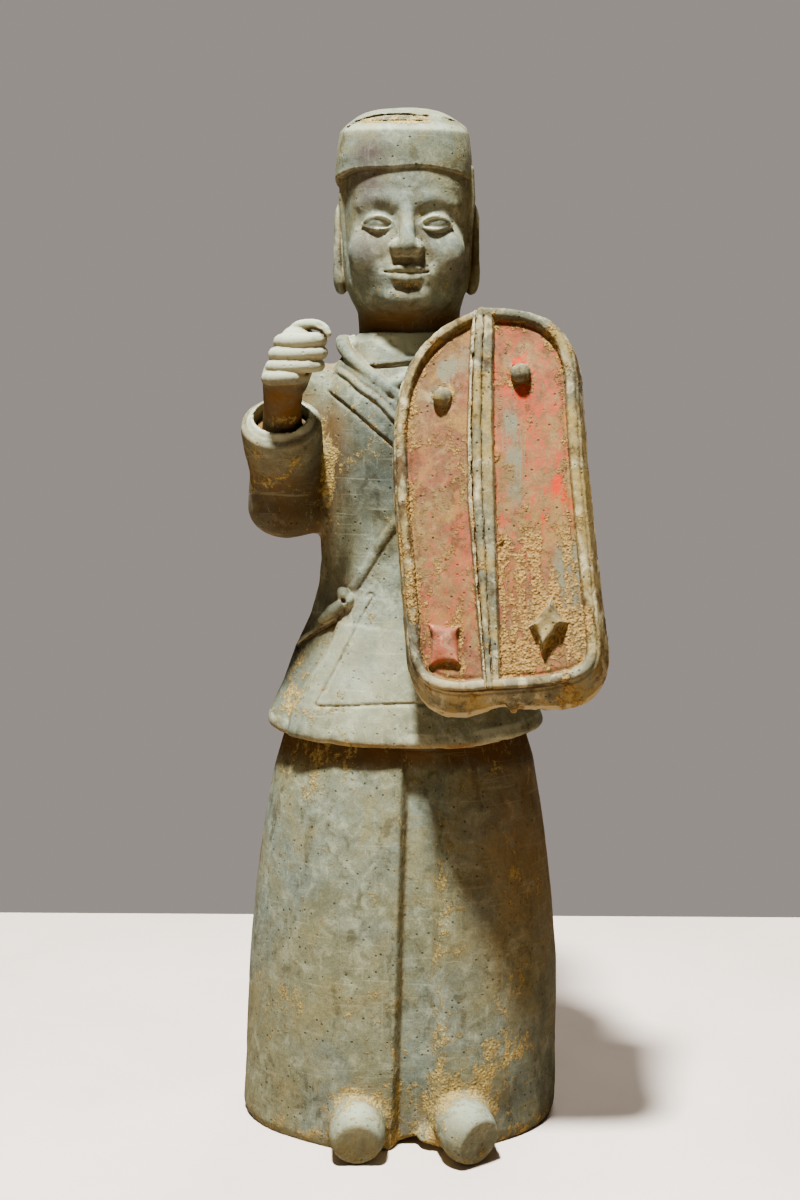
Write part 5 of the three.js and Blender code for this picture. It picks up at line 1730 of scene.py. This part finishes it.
def make_lights(choices):
    aimed_light("key_light", (-0.22, -0.66, 2.14), (0, -0.03, 0.3), 0.2, choices.key,
                (1.0, 0.985, 0.94))
    aimed_light("fill_light", (-1.0, -1.9, 1.0), (0, 0, 0.25), 1.6, choices.fill, (1.0, 0.9, 0.78))
    aimed_light("back_light", (0.5, 1.5, 1.3), (0, 0.05, 0.1), 1.2, choices.back, (1.0, 0.9, 0.8))
    world = bpy.data.worlds.new("soft_surroundings")
    world.use_nodes = True
    wires = Wires(world.node_tree)
    seen = world.node_tree.nodes["Background"]
    seen.inputs["Color"].default_value = (*choices.backdrop, 1.0)
    bounced = wires.node("ShaderNodeBackground")
    bounced.inputs["Color"].default_value = (*choices.bounce, 1.0)
    mixed = wires.node("ShaderNodeMixShader")
    wires.feed(mixed.inputs[0], wires.node("ShaderNodeLightPath").outputs["Is Camera Ray"])
    output = world.node_tree.nodes["World Output"]
    for socket, plug in ((bounced.outputs[0], mixed.inputs[1]), (seen.outputs[0], mixed.inputs[2]),
                         (mixed.outputs[0], output.inputs["Surface"])):
        world.node_tree.links.new(socket, plug)
    bpy.context.scene.world = world
    bpy.context.scene.view_settings.look = "AgX - Medium High Contrast"


def make_camera(scene):
    data = bpy.data.cameras.new("camera")
    data.lens = 50.0
    data.sensor_fit = "VERTICAL"
    data.sensor_height = 36.0
    camera = bpy.data.objects.new("camera", data)
    turn = Matrix.Rotation(math.radians(90 - CAMERA_DIP), 4, "X")
    turn = turn @ Matrix.Rotation(math.radians(CAMERA_ROLL), 4, "Z")
    camera.matrix_world = Matrix.Translation(CAMERA_PLACE) @ turn
    scene.collection.objects.link(camera)
    scene.camera = camera


class WARRIOR_PT_panel(bpy.types.Panel):
    """Sculpting steps and settings of the clay warrior"""
    bl_label = "Clay Warrior"
    bl_idname = "WARRIOR_PT_panel"
    bl_space_type = "VIEW_3D"
    bl_region_type = "UI"
    bl_category = "Clay Warrior"

    def draw(self, context):
        for operator in OPERATORS:
            self.layout.operator(operator.bl_idname)
        for group in (context.scene.warrior_clay, context.scene.warrior_paint,
                      context.scene.warrior_detail, context.scene.warrior_stage):
            box = self.layout.box()
            for key in group.__annotations__:
                box.prop(group, key)


OPERATORS = (WARRIOR_OT_robe, WARRIOR_OT_jacket, WARRIOR_OT_head, WARRIOR_OT_fists,
             WARRIOR_OT_shield, WARRIOR_OT_stage)
SETTINGS = (("warrior_clay", ClayColours), ("warrior_paint", PaintColours),
            ("warrior_detail", DetailSizes), ("warrior_stage", StageChoices))


def register():
    for name, group in SETTINGS:
        bpy.utils.register_class(group)
        setattr(bpy.types.Scene, name, bpy.props.PointerProperty(type=group))
    for made in (*OPERATORS, WARRIOR_PT_panel):
        bpy.utils.register_class(made)


def unregister():
    for made in reversed((*OPERATORS, WARRIOR_PT_panel)):
        bpy.utils.unregister_class(made)
    for name, group in reversed(SETTINGS):
        delattr(bpy.types.Scene, name)
        bpy.utils.unregister_class(group)


def main():
    register()
    bpy.ops.warrior.robe()
    bpy.ops.warrior.jacket()
    bpy.ops.warrior.head()
    bpy.ops.warrior.fists()
    bpy.ops.warrior.shield()
    bpy.ops.warrior.stage()


if __name__ == "__main__":
    main()
